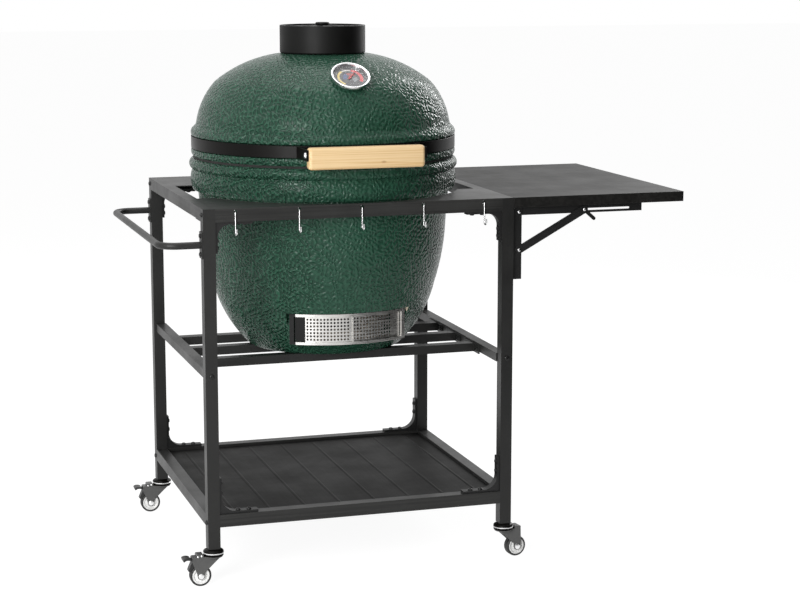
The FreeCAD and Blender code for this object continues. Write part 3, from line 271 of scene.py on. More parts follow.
def brushed_steel(name, rough, shade_left=None):
    """Brushed stainless, black left of a place if one is given: painted shade for the dark inside seen
    through the open draft gap.
    """
    f = Finish(name)
    lines = f.grain(BRUSH_SIZE, BRUSH, detail=3.0, rough=0.6)
    value = f.span(lines, 0.25, 0.75, rough * 0.75, rough * 1.35)
    tone = f.blend(f.span(lines, 0.25, 0.75), tuple(c * 0.86 for c in STEEL), STEEL)
    relief = f.bump(lines, 0.00003)
    if shade_left is None:
        return f.surface(tone, value, 1.0, Normal=relief)
    x, _, _ = f.parts(f.place())
    left = f.span(x, shade_left - 0.0004, shade_left + 0.0004, 1.0, 0.0)
    return f.surface(f.blend(left, tone, (0.006, 0.006, 0.006)), value + left * 0.2, 1.0 - left,
                     Normal=relief, Specular_IOR_Level=0.2)


def moulded(name, colour, rough, size=0.0009, depth=0.00004):
    """Moulded plastic or rubber with a fine texture."""
    f = Finish(name)
    speck = f.grain(size, detail=2.0)
    cloud = f.grain(0.02, detail=3.0)
    base = f.blend(f.span(cloud, 0.3, 0.7), tuple(c * 0.9 for c in colour),
                   tuple(c * 1.1 for c in colour))
    return f.surface(base, f.span(speck, 0.2, 0.8, rough - 0.05, rough + 0.08),
                     Normal=f.bump(speck, depth))


def fired_clay(name):
    """Unglazed fired ceramic."""
    f = Finish(name)
    cloud = f.grain(0.05, detail=5.0, rough=0.65)
    pit = f.grain(0.0022, detail=4.0, rough=0.7)
    base = f.blend(f.span(cloud, 0.3, 0.7), (0.50, 0.42, 0.32), (0.64, 0.56, 0.45))
    return f.surface(base, f.span(pit, 0.3, 0.7, 0.8, 0.95), Normal=f.bump(pit, 0.0004))


def felt(name):
    """Short dark felt of the gaskets."""
    f = Finish(name)
    hair = f.grain(0.0008, detail=4.0, rough=0.7)
    base = f.blend(hair, (0.006, 0.006, 0.006), (0.035, 0.034, 0.032))
    return f.surface(base, f.span(hair, 0.2, 0.8, 0.85, 1.0), Normal=f.bump(hair, 0.0004))


def cast_iron(name):
    """Rough cast iron with ash in places."""
    f = Finish(name)
    sand = f.grain(0.0018, detail=5.0, rough=0.7)
    ash = f.span(f.grain(0.03, detail=4.0), 0.45, 0.7)
    base = f.blend(ash * 0.5, (0.035, 0.034, 0.033), (0.15, 0.14, 0.13))
    return f.surface(base, f.span(sand, 0.3, 0.7, 0.6, 0.85), f.span(ash, 0.0, 1.0, 0.7, 0.2),
                     Normal=f.bump(sand, 0.0003))


def clear_glass(name):
    """Thin clear glass, faintly smeared."""
    f = Finish(name)
    smear = f.span(f.grain(0.02, detail=4.0), 0.35, 0.8, 0.02, 0.08)
    glass = f.add("ShaderNodeBsdfPrincipled", Base_Color=(1.0, 1.0, 1.0), Roughness=smear, Alpha=0.04,
                  IOR=1.45, Specular_IOR_Level=0.2)
    return f.done(glass)


frame_black = powder_coat("frame_black", (0.0150, 0.0150, 0.0145), shine=0.30)
rail_black_x = powder_coat("rail_black_lengthwise", (0.0190, 0.0190, 0.0183), along=0, shine=0.30)
rail_black_y = powder_coat("rail_black_crosswise", (0.0135, 0.0135, 0.0130), along=1, shine=0.34)
leaf_black = powder_coat("leaf_black", (0.0115, 0.0112, 0.0105), along=1, gloss=0.50, shine=0.15)
# Painted shade: a darker copy of the frame's black, for the shelf lying in shade under the table
shelf_black = powder_coat("shelf_black", (0.0048, 0.0047, 0.0044), along=1, gloss=0.55, shine=0.09)
bracket_black = powder_coat("bracket_black", (0.010, 0.010, 0.010), gloss=0.46)
bolt_black = powder_coat("bolt_black", (0.010, 0.010, 0.010), gloss=0.36)
cap_black = powder_coat("cap_black", (0.0040, 0.0040, 0.0038), gloss=0.50, shine=0.15)
band_black = powder_coat("band_black", (0.0036, 0.0032, 0.0028), gloss=0.34, shine=0.10)
green_glaze = worm_glaze("green_glaze")
pine = pale_pine("pale_pine")
chrome = bright_metal("bright_chrome", (0.83, 0.83, 0.84), 0.09)
wire_chrome = bright_metal("bright_wire", (0.80, 0.80, 0.80), 0.16)
brushed = brushed_steel("brushed_stainless", 0.30)
# Painted shade: the frame is black left of the gap's edge, for the dark inside seen through it
draft_steel = brushed_steel("draft_frame_steel", 0.30, shade_left=-0.1135)
rivet_bright = bright_metal("rivet_bright", (0.90, 0.90, 0.90), 0.32)
fork_grey = powder_coat("fork_grey", (0.095, 0.095, 0.094), gloss=0.34)
hub_white = moulded("hub_white", (0.86, 0.86, 0.85), 0.32)
tread_black = moulded("tread_black", (0.012, 0.012, 0.012), 0.55)
pedal_black = moulded("pedal_black", (0.010, 0.010, 0.010), 0.42)
clay = fired_clay("fired_clay")
gasket_felt = felt("gasket_felt")
grate_iron = cast_iron("grate_iron")
lens_glass = clear_glass("lens_glass")
needle_red = moulded("needle_red", (0.50, 0.02, 0.02), 0.35)


# Shapes grown by node trees

class Shape(Board):
    """A Geometry Nodes tree with named inputs, ending in plain geometry with its finish."""

    kinds = {"size": "NodeSocketFloat", "count": "NodeSocketInt", "form": "NodeSocketObject",
             "finish": "NodeSocketMaterial"}

    def __init__(self, name, **inputs):
        super().__init__(bpy.data.node_groups.new(name, "GeometryNodeTree"))
        face = self.tree.interface
        face.new_socket("Geometry", in_out="INPUT", socket_type="NodeSocketGeometry")
        for label, kind in inputs.items():
            face.new_socket(label, in_out="INPUT", socket_type=self.kinds[kind])
        face.new_socket("Geometry", in_out="OUTPUT", socket_type="NodeSocketGeometry")
        self.start = self.tree.nodes.new("NodeGroupInput")

    def given(self, label):
        return Value(self, self.start.outputs[label])

    def ends(self, geometry):
        end = self.tree.nodes.new("NodeGroupOutput")
        self.tree.links.new(geometry.socket, end.inputs[0])
        return self

    def ends_solid(self, geometry):
        real = self.add("GeometryNodeRealizeInstances", Geometry=geometry)
        return self.ends(self.add("GeometryNodeSetMaterial", Geometry=real,
                                  Material=self.given("finish")))

    def on(self, piece, **values):
        """Adds the tree to an object, with its inputs given by name."""
        modifier = piece.modifiers.new(self.tree.name, "NODES")
        modifier.node_group = self.tree
        for item in self.tree.interface.items_tree:
            if item.in_out == "INPUT" and item.name in values:
                modifier[item.identifier] = values[item.name]

    def grown(self, name, seed, **values):
        """A plain mesh made by the tree from a seed mesh."""
        host = new_object(name, seed)
        self.on(host, **values)
        mesh = plain_mesh(host)
        mesh.name = name
        return mesh


def new_object(name, data):
    piece = bpy.data.objects.new(name, data)
    bpy.context.collection.objects.link(piece)
    return piece


def plain_mesh(host):
    """The finished mesh of a helper object, which goes."""
    graph = bpy.context.evaluated_depsgraph_get()
    mesh = bpy.data.meshes.new_from_object(host.evaluated_get(graph))
    bpy.data.objects.remove(host)
    return mesh


def eased_faces():
    """Smooth shading that stops at folded edges."""
    s = Shape("eased_faces", merge="size", fold="size")
    merged = s.add("GeometryNodeMergeByDistance", Geometry=s.given("Geometry"),
                   Distance=s.given("merge"))
    smooth = s.add("GeometryNodeSetShadeSmooth", {"domain": "FACE"}, Geometry=merged,
                   Shade_Smooth=True)
    bend = s.add("GeometryNodeInputMeshEdgeAngle", out="Unsigned Angle")
    folded = s.add("FunctionNodeCompare", {"operation": "GREATER_THAN"}, A=bend,
                   B=s.given("fold"))
    return s.ends(s.add("GeometryNodeSetShadeSmooth", {"domain": "EDGE"}, Geometry=smooth,
                        Selection=folded, Shade_Smooth=False))


def set_out():
    """One form set on every point, turned to the point's outward direction."""
    s = Shape("set_out", form="form", finish="finish")
    form = s.add("GeometryNodeObjectInfo", {"transform_space": "ORIGINAL"}, out="Geometry",
                 Object=s.given("form"))
    outward = s.add("GeometryNodeInputNamedAttribute", {"data_type": "FLOAT_VECTOR"}, out="Attribute",
                    Name="outward")
    turn = s.add("FunctionNodeAlignRotationToVector", {"axis": "Z"}, out="Rotation", Vector=outward)
    spread = s.add("GeometryNodeInstanceOnPoints", Points=s.given("Geometry"), Instance=form,
                   Rotation=turn)
    return s.ends_solid(spread)


soft_shading = eased_faces()
set_out_tree = set_out()


# Mesh code

MM = 0.001
CAD_FOLD = 32  # degrees; an edge that bends more stays an edge
MESH_FOLD = 35


def rounded(points, radius, steps=3):
    """Closed outline whose corners are eased, apart from those on the axis."""
    out = []
    count = len(points)
    for i, corner in enumerate(points):
        here = Vector(corner)
        if abs(here.x) < 1e-9:
            out.append(tuple(here))
            continue
        before = Vector(points[i - 1]) - here
        after = Vector(points[(i + 1) % count]) - here
        reach = min(radius, before.length * 0.45, after.length * 0.45)
        start = here + before.normalized() * reach
        end = here + after.normalized() * reach
        for k in range(steps + 1):
            t = k / steps
            out.append(tuple(start * (1 - t) ** 2 + here * (2 * t * (1 - t)) + end * t ** 2))
    return out


def spun(profile, around=48):
    """Points and faces of a closed profile of radius and height, turned about the upright axis."""
    points = []
    rows = []
    for r, z in profile:
        if r < 1e-7:
            rows.append([len(points)] * around)
            points.append((0.0, 0.0, z))
            continue
        rows.append(list(range(len(points), len(points) + around)))
        for k in range(around):
            angle = math.tau * k / around
            points.append((r * math.cos(angle), r * math.sin(angle), z))
    faces = []
    for row, above in zip(rows, rows[1:] + rows[:1]):
        for k in range(around):
            n = (k + 1) % around
            corners = list(dict.fromkeys((row[k], row[n], above[n], above[k])))
            if len(corners) > 2:
                faces.append(corners)
    return points, faces


def slab(outline, low, high):
    """Points and faces of a flat outline in X and Z, thick from low to high in Y."""
    n = len(outline)
    points = [(x, low, z) for x, z in outline] + [(x, high, z) for x, z in outline]
    faces = [list(range(n)), list(range(n, 2 * n))]
    faces += [[k, (k + 1) % n, n + (k + 1) % n, n + k] for k in range(n)]
    return points, faces


def block(x0, x1, y0, y1, z0, z1):
    return slab([(x0, z0), (x1, z0), (x1, z1), (x0, z1)], y0, y1)


def laid(shape, matrix):
    points, faces = shape
    return [tuple(matrix @ Vector(p)) for p in points], faces


def turned_to(side):
    """Lays an upright shape on its side, its top to the front (-1) or to the back (1)."""
    return Matrix.Rotation(math.radians(90 if side < 0 else -90), 4, "X")


def one_mesh(name, shapes, fold=MESH_FOLD):
    """One mesh of several closed shapes, with smooth faces and folded edges kept."""
    points = []
    faces = []
    for more_points, more_faces in shapes:
        faces += [[len(points) + k for k in face] for face in more_faces]
        points += more_points
    mesh = bpy.data.meshes.new(name)
    mesh.from_pydata(points, [], faces)
    shell = bmesh.new()
    shell.from_mesh(mesh)
    bmesh.ops.remove_doubles(shell, verts=shell.verts, dist=1e-7)
    bmesh.ops.recalc_face_normals(shell, faces=shell.faces)
    shell.to_mesh(mesh)
    shell.free()
    mesh.shade_smooth()
    mesh.set_sharp_from_angle(angle=math.radians(fold))
    return mesh


def soft_edges(piece, width, angle):
    """Eased edges, with the flat faces between them kept flat in the light."""
    bevel = piece.modifiers.new("edge", "BEVEL")
    bevel.width = width
    bevel.segments = 2
    bevel.limit_method = "ANGLE"
    bevel.angle_limit = math.radians(angle)
    flat = piece.modifiers.new("flat_faces", "WEIGHTED_NORMAL")
    flat.mode = "FACE_AREA"
    flat.weight = 90
    flat.keep_sharp = True


def settle(piece, body, material, nodes=(), edge=0.0):
    """Gives a finished piece its material, its body and the nodes that it stands for."""
    if material is not None:
        piece.data.materials.clear()
        piece.data.materials.append(material)
    if edge:
        soft_edges(piece, edge, MESH_FOLD)
    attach(piece, body)
    if nodes:
        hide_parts(*nodes)


def build(name, shapes, body, material, nodes=(), edge=0.0, fold=MESH_FOLD):
    """One finished piece of several closed shapes."""
    piece = new_object(name, one_mesh(name, shapes, fold))
    settle(piece, body, material, nodes, edge)


def millimetres(points):
    return [(a * MM, b * MM) for a, b in points]


def islands(node):
    """The separate solids of a CAD node, each as a list of its points."""
    shell = bmesh.new()
    shell.from_mesh(cad_nodes[node].data)
    bmesh.ops.remove_doubles(shell, verts=shell.verts, dist=0.00001)
    left = set(shell.verts)
    found = []
    while left:
        group = []
        heap = [left.pop()]
        while heap:
            vertex = heap.pop()
            group.append(vertex.co.copy())
            for edge in vertex.link_edges:
                other = edge.other_vert(vertex)
                if other in left:
                    left.remove(other)
                    heap.append(other)
        found.append(group)
    shell.free()
    return found


def low_high(points):
    low = Vector([min(p[i] for p in points) for i in range(3)])
    high = Vector([max(p[i] for p in points) for i in range(3)])
    return low, high


def head_seat(points, along, sign, height):
    """Where the underside of a fastener's head rests, and its outward direction."""
    low, high = low_high(points)
    middle = (low + high) / 2
    outward = Vector((0.0, 0.0, 0.0))
    outward[along] = sign
    middle[along] = (high[along] - height) if sign > 0 else (low[along] + height)
    return middle, outward


def points_out(name, places):
    """A seed mesh of loose points that know their outward direction."""
    mesh = bpy.data.meshes.new(name)
    mesh.from_pydata([tuple(at) for at, outward in places], [], [])
    store = mesh.attributes.new("outward", "FLOAT_VECTOR", "POINT")
    for k, (at, outward) in enumerate(places):
        store.data[k].vector = outward
    return mesh


def fasteners(name, form, places, body, material, nodes=()):
    """Copies of one head on many seats, as one plain mesh."""
    pattern = new_object(name + "_form", form)
    mesh = set_out_tree.grown(name, points_out(name + "_seats", places), form=pattern,
                              finish=material)
    bpy.data.objects.remove(pattern)
    settle(new_object(name, mesh), body, None, nodes)


# CAD pieces that keep their own mesh

def eased(names, material, width):
    """Finishes pieces and eases their edges by a width; 0 leaves the edges as they are."""
    for name in names:
        piece = cad_nodes[name]
        piece.data.materials.clear()
        piece.data.materials.append(material)
        soft_shading.on(piece, merge=0.00002, fold=math.radians(CAD_FOLD))
        if width:
            whole = piece.modifiers.new("whole_faces", "DECIMATE")
            whole.decimate_type = "DISSOLVE"
            whole.angle_limit = math.radians(0.6)
            soft_edges(piece, width, CAD_FOLD)


def raw_inside(shell, height):
    """Unglazed ceramic on the faces that look towards a point on the axis inside the shell."""
    middle = GRILL + Vector((0.0, 0.0, height))
    mesh = cad_nodes[shell].data
    mesh.materials.append(clay)
    for face in mesh.polygons:
        if face.normal.dot(face.center - middle) < 0:
            face.material_index = 1


eased(["posts", "kamado_slats", "side_mid_rails"], frame_black, 0.0009)
eased(["front_top_rail", "back_top_rail"], rail_black_x, 0.0005)
eased(["long_bottom_rails"], rail_black_x, 0.0009)
eased(["side_top_rails", "side_bottom_rails"], rail_black_y, 0.0009)
eased(["leaf_panel"], leaf_black, 0.0006)
eased(["shelf_panel"], shelf_black, 0.0004)
eased(["corner_brackets", "wall_bars", "leaf_bars", "release_levers"], bracket_black, 0.0004)
eased(["push_handle"], frame_black, 0.0004)
eased(["base_shell", "dome_shell"], green_glaze, 0.0)
raw_inside("base_shell", height=0.64)
raw_inside("dome_shell", height=0.84)
eased(["firebox", "fire_ring"], clay, 0.001)
eased(["charcoal_grate"], grate_iron, 0.001)
eased(["cooking_grate", "hinge_pin"], brushed, 0.0003)
eased(["base_gasket", "dome_gasket"], gasket_felt, 0.0004)
eased(["dome_band", "handle_brackets", "hinge_base_bracket", "hinge_dome_bracket"], band_black, 0.0005)
eased(["wooden_handle"], pine, 0.0)
eased(["vent_collar", "vent_disc", "vent_knob"], cap_black, 0.0006)
eased(["draft_frame"], draft_steel, 0.0)
eased(["hook_%d" % n for n in range(1, 6)], wire_chrome, 0.0)
eased(["pedal_fl", "pedal_bl"], pedal_black, 0.0004)


# Draft door: two curved perforated sheets, the screen with an upright pull and a black end that is
# painted shade for the dark inside seen through the open gap

SHEET_PITCH = 7.0 * MM
SHEET_ROWS = 7
SHEET_COLUMNS = 13
HOLE_RADIUS = 2.25 * MM
HOLE_CORNERS = 12
SCREEN_RADII = (219.3 * MM, 220.5 * MM)  # inside and outside of each sheet
DOOR_RADII = (215.9 * MM, 217.1 * MM)
# The black end of the screen is painted shade, for the dark inside seen through the open gap
SHADE_END_OUT = 220.7 * MM
PULL_OUT = 225.0 * MM
PULL_MARGIN = 2.6 * MM  # left free above and below the pull
SCREEN_ENDS = (-25.4, 0.7)  # degrees from the front, to the right
SHADE_END_LEFT = -31.0
PULL_LEFT = 0.1
SCREEN_FIRST_COLUMN = -24.2
DOOR_ENDS = (-0.7, 31.0)
DOOR_FIRST_COLUMN = 1.6


def curved(radius, angle, z):
    return GRILL + Vector((radius * math.sin(angle), -radius * math.cos(angle), z))


def curved_block(r0, r1, angle0, angle1, z0, z1, steps=1):
    """A curved bar about the grill's axis; angles in degrees from the front."""
    points = []
    for k in range(steps + 1):
        angle = math.radians(angle0 + (angle1 - angle0) * k / steps)
        points += [curved(r, angle, z) for r, z in ((r0, z0), (r1, z0), (r1, z1), (r0, z1))]
    faces = [[0, 1, 2, 3], [4 * steps + c for c in range(4)]]
    for k in range(4 * steps):
        turn = k - k % 4
        faces.append([k, turn + (k + 1) % 4, turn + 4 + (k + 1) % 4, k + 4])
    return [tuple(p) for p in points], faces


def holed_sheet(radii, ends, z0, z1, first):
    """A curved sheet with a field of holes that starts at the angle of its first column.

    Each hole fills a square of 3 x 3 cells, its edge in the middle one.
    """
    inner, outer = radii
    step = SHEET_PITCH / inner / 3
    start = math.radians(first) - step * 1.5
    across = [math.radians(ends[0])] + [start + step * k for k in range(3 * SHEET_COLUMNS + 1)]
    across.append(math.radians(ends[1]))
    bottom = (z0 + z1) / 2 - SHEET_PITCH * SHEET_ROWS / 2
    rise = [z0] + [bottom + SHEET_PITCH * k / 3 for k in range(3 * SHEET_ROWS + 1)] + [z1]
    spots = {}
    walls = []

    def spot(key, angle, z):
        if key not in spots:
            spots[key] = (len(spots), angle, z)
        return spots[key][0]

    def corner(i, j):
        return spot((i, j), across[i], rise[j])

    skin = []
    for i in range(len(across) - 1):
        for j in range(len(rise) - 1):
            column, row = (i - 1) // 3, (j - 1) // 3
            if not (0 <= column < SHEET_COLUMNS and 0 <= row < SHEET_ROWS):
                skin.append([corner(i, j), corner(i + 1, j), corner(i + 1, j + 1), corner(i, j + 1)])
            elif (i - 1) % 3 == 1 and (j - 1) % 3 == 1:
                middle_angle = (across[i] + across[i + 1]) / 2
                middle_z = (rise[j] + rise[j + 1]) / 2
                rim = [(-1, -1), (0, -1), (1, -1), (2, -1), (2, 0), (2, 1), (2, 2), (1, 2), (0, 2),
                       (-1, 2), (-1, 1), (-1, 0)]
                edge = [corner(i + a, j + b) for a, b in rim]
                hole = []
                for k in range(HOLE_CORNERS):
                    turn = math.radians(-135 + 30 * k)
                    hole.append(spot((i, j, k), middle_angle + HOLE_RADIUS * math.cos(turn) / inner,
                                     middle_z + HOLE_RADIUS * math.sin(turn)))
                for k in range(HOLE_CORNERS):
                    n = (k + 1) % HOLE_CORNERS
                    skin.append([edge[k], edge[n], hole[n], hole[k]])
                    walls.append((hole[n], hole[k]))
    last_i, last_j = len(across) - 1, len(rise) - 1
    border = [corner(i, 0) for i in range(last_i)] + [corner(last_i, j) for j in range(last_j)]
    border += [corner(i, last_j) for i in range(last_i, 0, -1)]
    border += [corner(0, j) for j in range(last_j, 0, -1)]
    walls += list(zip(border, border[1:] + border[:1]))
    n = len(spots)
    places = sorted(spots.values())
    points = [tuple(curved(r, angle, z)) for r in (outer, inner) for _, angle, z in places]
    faces = skin + [[n + c for c in face] for face in skin]
    return points, faces + [[a, b, n + b, n + a] for a, b in walls]


(_, _, foot), (_, _, top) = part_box("screen_slide")
pull = curved_block(SCREEN_RADII[0], PULL_OUT, PULL_LEFT, SCREEN_ENDS[1], foot + PULL_MARGIN,
                    top - PULL_MARGIN)
screen = holed_sheet(SCREEN_RADII, SCREEN_ENDS, foot, top, SCREEN_FIRST_COLUMN)
build("perforated_screen", [screen, pull], "screen", brushed, ["screen_slide"])
# Painted shade: a black sheet where the dark inside of the grill shows through the open draft gap
painted_shade_end = curved_block(SCREEN_RADII[0], SHADE_END_OUT, SHADE_END_LEFT, SCREEN_ENDS[0], foot,
                         top, 8)
build("screen_black_end", [painted_shade_end], "screen", cap_black)
(_, _, foot), (_, _, top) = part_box("door_slide")
door = holed_sheet(DOOR_RADII, DOOR_ENDS, foot, top, DOOR_FIRST_COLUMN)
build("perforated_door", [door], "draft_door", brushed, ["door_slide"])


# Bolts, rivets and screws

def button_head(name, radius, height, socket, around=24):
    """Low domed head with a hexagon socket."""
    rings = [(1.0, 0.0), (1.0, 0.35), (0.93, 0.68), (0.74, 0.93), (0.55, 1.0)]
    points = []
    rows = [[(radius * share, rise * height)] * around for share, rise in rings]
    for depth in (1.0, 0.35):
        row = []
        for k in range(around):
            off = (360.0 * k / around + 30.0) % 60.0 - 30.0
            reach = socket * math.cos(math.radians(30)) / math.cos(math.radians(off))
            row.append((reach, depth * height))
        rows.append(row)
    for row in rows:
        for k, (r, z) in enumerate(row):
            angle = math.tau * k / around
            points.append((r * math.cos(angle), r * math.sin(angle), z))
    faces = []
    for i in range(len(rows) - 1):
        for k in range(around):
            n = (k + 1) % around
            faces.append([i * around + k, i * around + n, (i + 1) * around + n, (i + 1) * around + k])
    faces.append(list(range(around)))
    faces.append(list(range((len(rows) - 1) * around, len(rows) * around)))
    return one_mesh(name, [(points, faces)], 30)


def domed_head(name, radius, height, around=20):
    profile = [(0, 0), (radius, 0), (radius, height * 0.25), (radius * 0.92, height * 0.6),
               (radius * 0.68, height * 0.86), (radius * 0.36, height * 0.97), (0, height)]
    return one_mesh(name, [spun(profile, around)], 50)


BOLT_RADIUS, BOLT_HEAD, BOLT_SOCKET = 5.0 * MM, 3.0 * MM, 2.4 * MM
RIVET_RADIUS, RIVET_HEAD = 3.3 * MM, 1.6 * MM
SCREW_RADIUS, SCREW_HEAD = 6.0 * MM, 4.0 * MM
SHANK_REACH = 0.0035  # points farther from a bolt's axis belong to its head


def frame_bolt_seats():
    seats = []
    for points in islands("frame_bolts"):
        low, high = low_high(points)
        size = high - low
        along = max(range(3), key=lambda i: size[i])
        middle = (low + high) / 2
        wide = [p for p in points
                if max(abs((p - middle)[i]) for i in range(3) if i != along) > SHANK_REACH]
        sign = 1 if sum(p[along] for p in wide) / len(wide) > middle[along] else -1
        seats.append(head_seat(points, along, sign, BOLT_HEAD))
    return seats


def outer_seats(node, along, height):
    """Seats of fasteners whose heads all face away from the middle."""
    seats = []
    for points in islands(node):
        low, high = low_high(points)
        seats.append(head_seat(points, along, -1 if low[along] + high[along] < 0 else 1, height))
    return seats


fasteners("frame_bolt_heads", button_head("bolt_head", BOLT_RADIUS, BOLT_HEAD, BOLT_SOCKET),
          frame_bolt_seats(), "table", bolt_black, ["frame_bolts"])
fasteners("bracket_rivet_heads", domed_head("rivet_head", RIVET_RADIUS, RIVET_HEAD),
          outer_seats("bracket_rivets", 1, RIVET_HEAD), "table", rivet_bright,
          ["bracket_rivets"])
fasteners("handle_screw_heads", domed_head("screw_head", SCREW_RADIUS, SCREW_HEAD, 28),
          outer_seats("handle_bolts", 0, SCREW_HEAD), "lid", chrome, ["handle_bolts"])


# Struts of the folding bracket, each with a pressed step along it

def long_round(length, low, high, ends=8):
    """Outline of a flat bar with round ends, between two heights either side of its line."""
    r = (high - low) / 2
    middle = (high + low) / 2
    out = []
    for k in range(ends + 1):
        a = math.radians(-90 + 180 * k / ends)
        out.append((length + r * math.cos(a), middle + r * math.sin(a)))
    for k in range(ends + 1):
        a = math.radians(90 + 180 * k / ends)
        out.append((r * math.cos(a), middle + r * math.sin(a)))
    return out


STRUT_FOOT = Vector((0.339, 0.0, 0.658))  # from the grill's axis and the floor, leaf up
STRUT_TOP = Vector((0.4835, 0.0, 0.737))
# Bar and step: low and high beside the strut's line, near and far from the middle, in mm
STRUT_LAYERS = [(-8.25, 8.25, 290.5, 291.7), (-8.0, 1.6, 291.6, 292.5)]
RIVET_SEAT = 292.4
slot_rivet = [(0, 0), (3.3, 0), (3.3, 0.4), (3.0, 0.95), (2.2, 1.38), (1.2, 1.57), (0, 1.6)]
slot_shank = [(0, -4.0), (2.0, -4.0), (2.0, 0.3), (0, 0.3)]
strut_run = STRUT_TOP - STRUT_FOOT
strut_place = (Matrix.Translation(GRILL + STRUT_FOOT)
               @ Matrix.Rotation(-math.atan2(strut_run.z, strut_run.x), 4, "Y"))
strut_shapes = []
slot_rivets = []
for side in (-1, 1):
    for low, high, near, far in STRUT_LAYERS:
        outline = millimetres(long_round(strut_run.length / MM, low, high))
        strut_shapes.append(laid(slab(outline, side * near * MM, side * far * MM), strut_place))
    at = Matrix.Translation(GRILL + STRUT_TOP + Vector((0.0, side * RIVET_SEAT * MM, 0.0)))
    at = at @ turned_to(side)
    slot_rivets.append(laid(spun(millimetres(slot_rivet), 24), at))
    slot_rivets.append(laid(spun(millimetres(slot_shank), 20), at))
build("leaf_strut_bars", strut_shapes, "struts", bracket_black,
      ["leaf_struts"], 0.0003)
build("slot_rivet_heads", slot_rivets, "struts", rivet_bright)


# Thermometer, built flat and laid on the dome

DIAL_TILT = math.radians(35.7)
DIAL_AT = Vector((0.0, -0.210, 1.010))
DIAL_SWEEP = 300  # degrees
TICKS = 40  # spaces between the ticks
NUMBERS = 8
NUMBER_STEP = 50
TICK_REACH = 33.7 * MM
NUMBER_REACH = 30.2 * MM
TICK_HEIGHT = 5.1 * MM  # over the back of the dial
NUMBER_HEIGHT = 5.15 * MM
NEEDLE_TURN = math.radians(-40.0)
dial_place = Matrix.Translation(GRILL + DIAL_AT) @ Matrix.Rotation(DIAL_TILT, 4, "X")
dial_back = dial_place.inverted()

# Degrees from the top to the right, millimetres from the middle, colour
DIAL_ZONES = [(-145, -34, 21.8, 26.4, (0.74, 0.58, 0.20)), (-33, 14, 22.2, 25.6, (0.62, 0.60, 0.56)),
              (16, 120, 20.4, 27.4, (0.58, 0.09, 0.10)), (-112, -28, 7.0, 15.0, (0.07, 0.10, 0.22)),
              (-20, 60, 8.0, 15.0, (0.36, 0.08, 0.08)), (84, 150, 6.5, 15.0, (0.24, 0.26, 0.27))]


def printed_dial(name):
    """Dark dial with coloured zones on an arc, laid out by angle and radius."""
    f = Finish(name)
    point = f.add("ShaderNodeTexCoord", out="Object")
    away = f.add("ShaderNodeMapping", {"vector_type": "POINT"}, Vector=point,
                 Location=tuple(dial_back.translation), Rotation=tuple(dial_back.to_euler("XYZ")))
    x, y, _ = f.parts(away)
    angle = f.calc("ARCTAN2", x, y) * (180 / math.pi)
    radius = f.calc("SQRT", x * x + y * y) * 1000.0

    def arc(a0, a1, r0, r1):
        return (angle > a0) * (angle < a1) * (radius > r0) * (radius < r1)

    cloud = f.grain(0.006, detail=3.0)
    base = f.blend(f.span(cloud, 0.3, 0.7), (0.045, 0.045, 0.048), (0.075, 0.075, 0.080))
    for a0, a1, r0, r1, colour in DIAL_ZONES:
        base = f.blend(arc(a0, a1, r0, r1), base, colour)
    return f.surface(base, f.span(cloud, 0.3, 0.7, 0.30, 0.42), Normal=f.bump(cloud, 0.00001))


dial_finish = printed_dial("printed_dial")
mark_white = moulded("mark_white", (0.55, 0.55, 0.53), 0.45, 0.0004, 0.000005)

bezel = [(0, 0.6), (34, 0.6), (40, 5.2), (40, 13.5), (35.5, 12.4), (35.5, 3.4), (0, 3.4)]
stem = [(0, -45), (3.5, -45), (3.5, 0.9), (0, 0.9)]
bezel = spun(rounded(millimetres(bezel), 1.6 * MM, 5), 96)
stem = spun(rounded(millimetres(stem), 0.6 * MM), 24)
build("thermometer_bezel", [laid(bezel, dial_place), laid(stem, dial_place)], "lid", chrome,
      ["thermometer_case"])

face = rounded(millimetres([(0, 3.5), (35.3, 3.5), (35.3, 5.0), (0, 5.0)]), 0.2 * MM, 1)
build("thermometer_face", [laid(spun(face, 72), dial_place)], "lid", dial_finish,
      ["thermometer_dial"])


def dial_marks():
    """Ticks round the rim of the dial, long at every fourth place."""
    s = Shape("dial_marks", count="count", reach="size", finish="finish")
    count = s.given("count")
    dots = s.add("GeometryNodeMeshLine", {"mode": "OFFSET"}, Count=count, Offset=(0.0, 0.0, 0.0))
    index = s.add("GeometryNodeInputIndex")
    angle = index * (math.radians(DIAL_SWEEP) / TICKS) - math.radians(DIAL_SWEEP / 2)
    point = s.add("ShaderNodeCombineXYZ", X=s.calc("SINE", angle) * s.given("reach"),
                  Y=s.calc("COSINE", angle) * s.given("reach"), Z=TICK_HEIGHT)
    ring = s.add("GeometryNodeSetPosition", Geometry=dots, Position=point)
    bar = s.add("GeometryNodeMeshCube", out="Mesh", Size=(0.5 * MM, 1.5 * MM, 0.3 * MM))
    longer = s.calc("COMPARE", s.calc("MODULO", index, 4.0), 0.0, 0.1)
    turn = s.add("ShaderNodeCombineXYZ", X=0.0, Y=0.0, Z=angle * -1.0)
    size = s.add("ShaderNodeCombineXYZ", X=longer * 0.7 + 0.8, Y=longer * 0.8 + 0.8, Z=1.0)
    spread = s.add("GeometryNodeInstanceOnPoints", Points=ring, Instance=bar, Rotation=turn, Scale=size)
    return s.ends_solid(spread)


marks = dial_marks().grown("thermometer_marks", bpy.data.meshes.new("marks_seed"),
                           count=TICKS + 1, reach=TICK_REACH, finish=mark_white)
marks.transform(dial_place)
settle(new_object("thermometer_marks", marks), "lid", None)


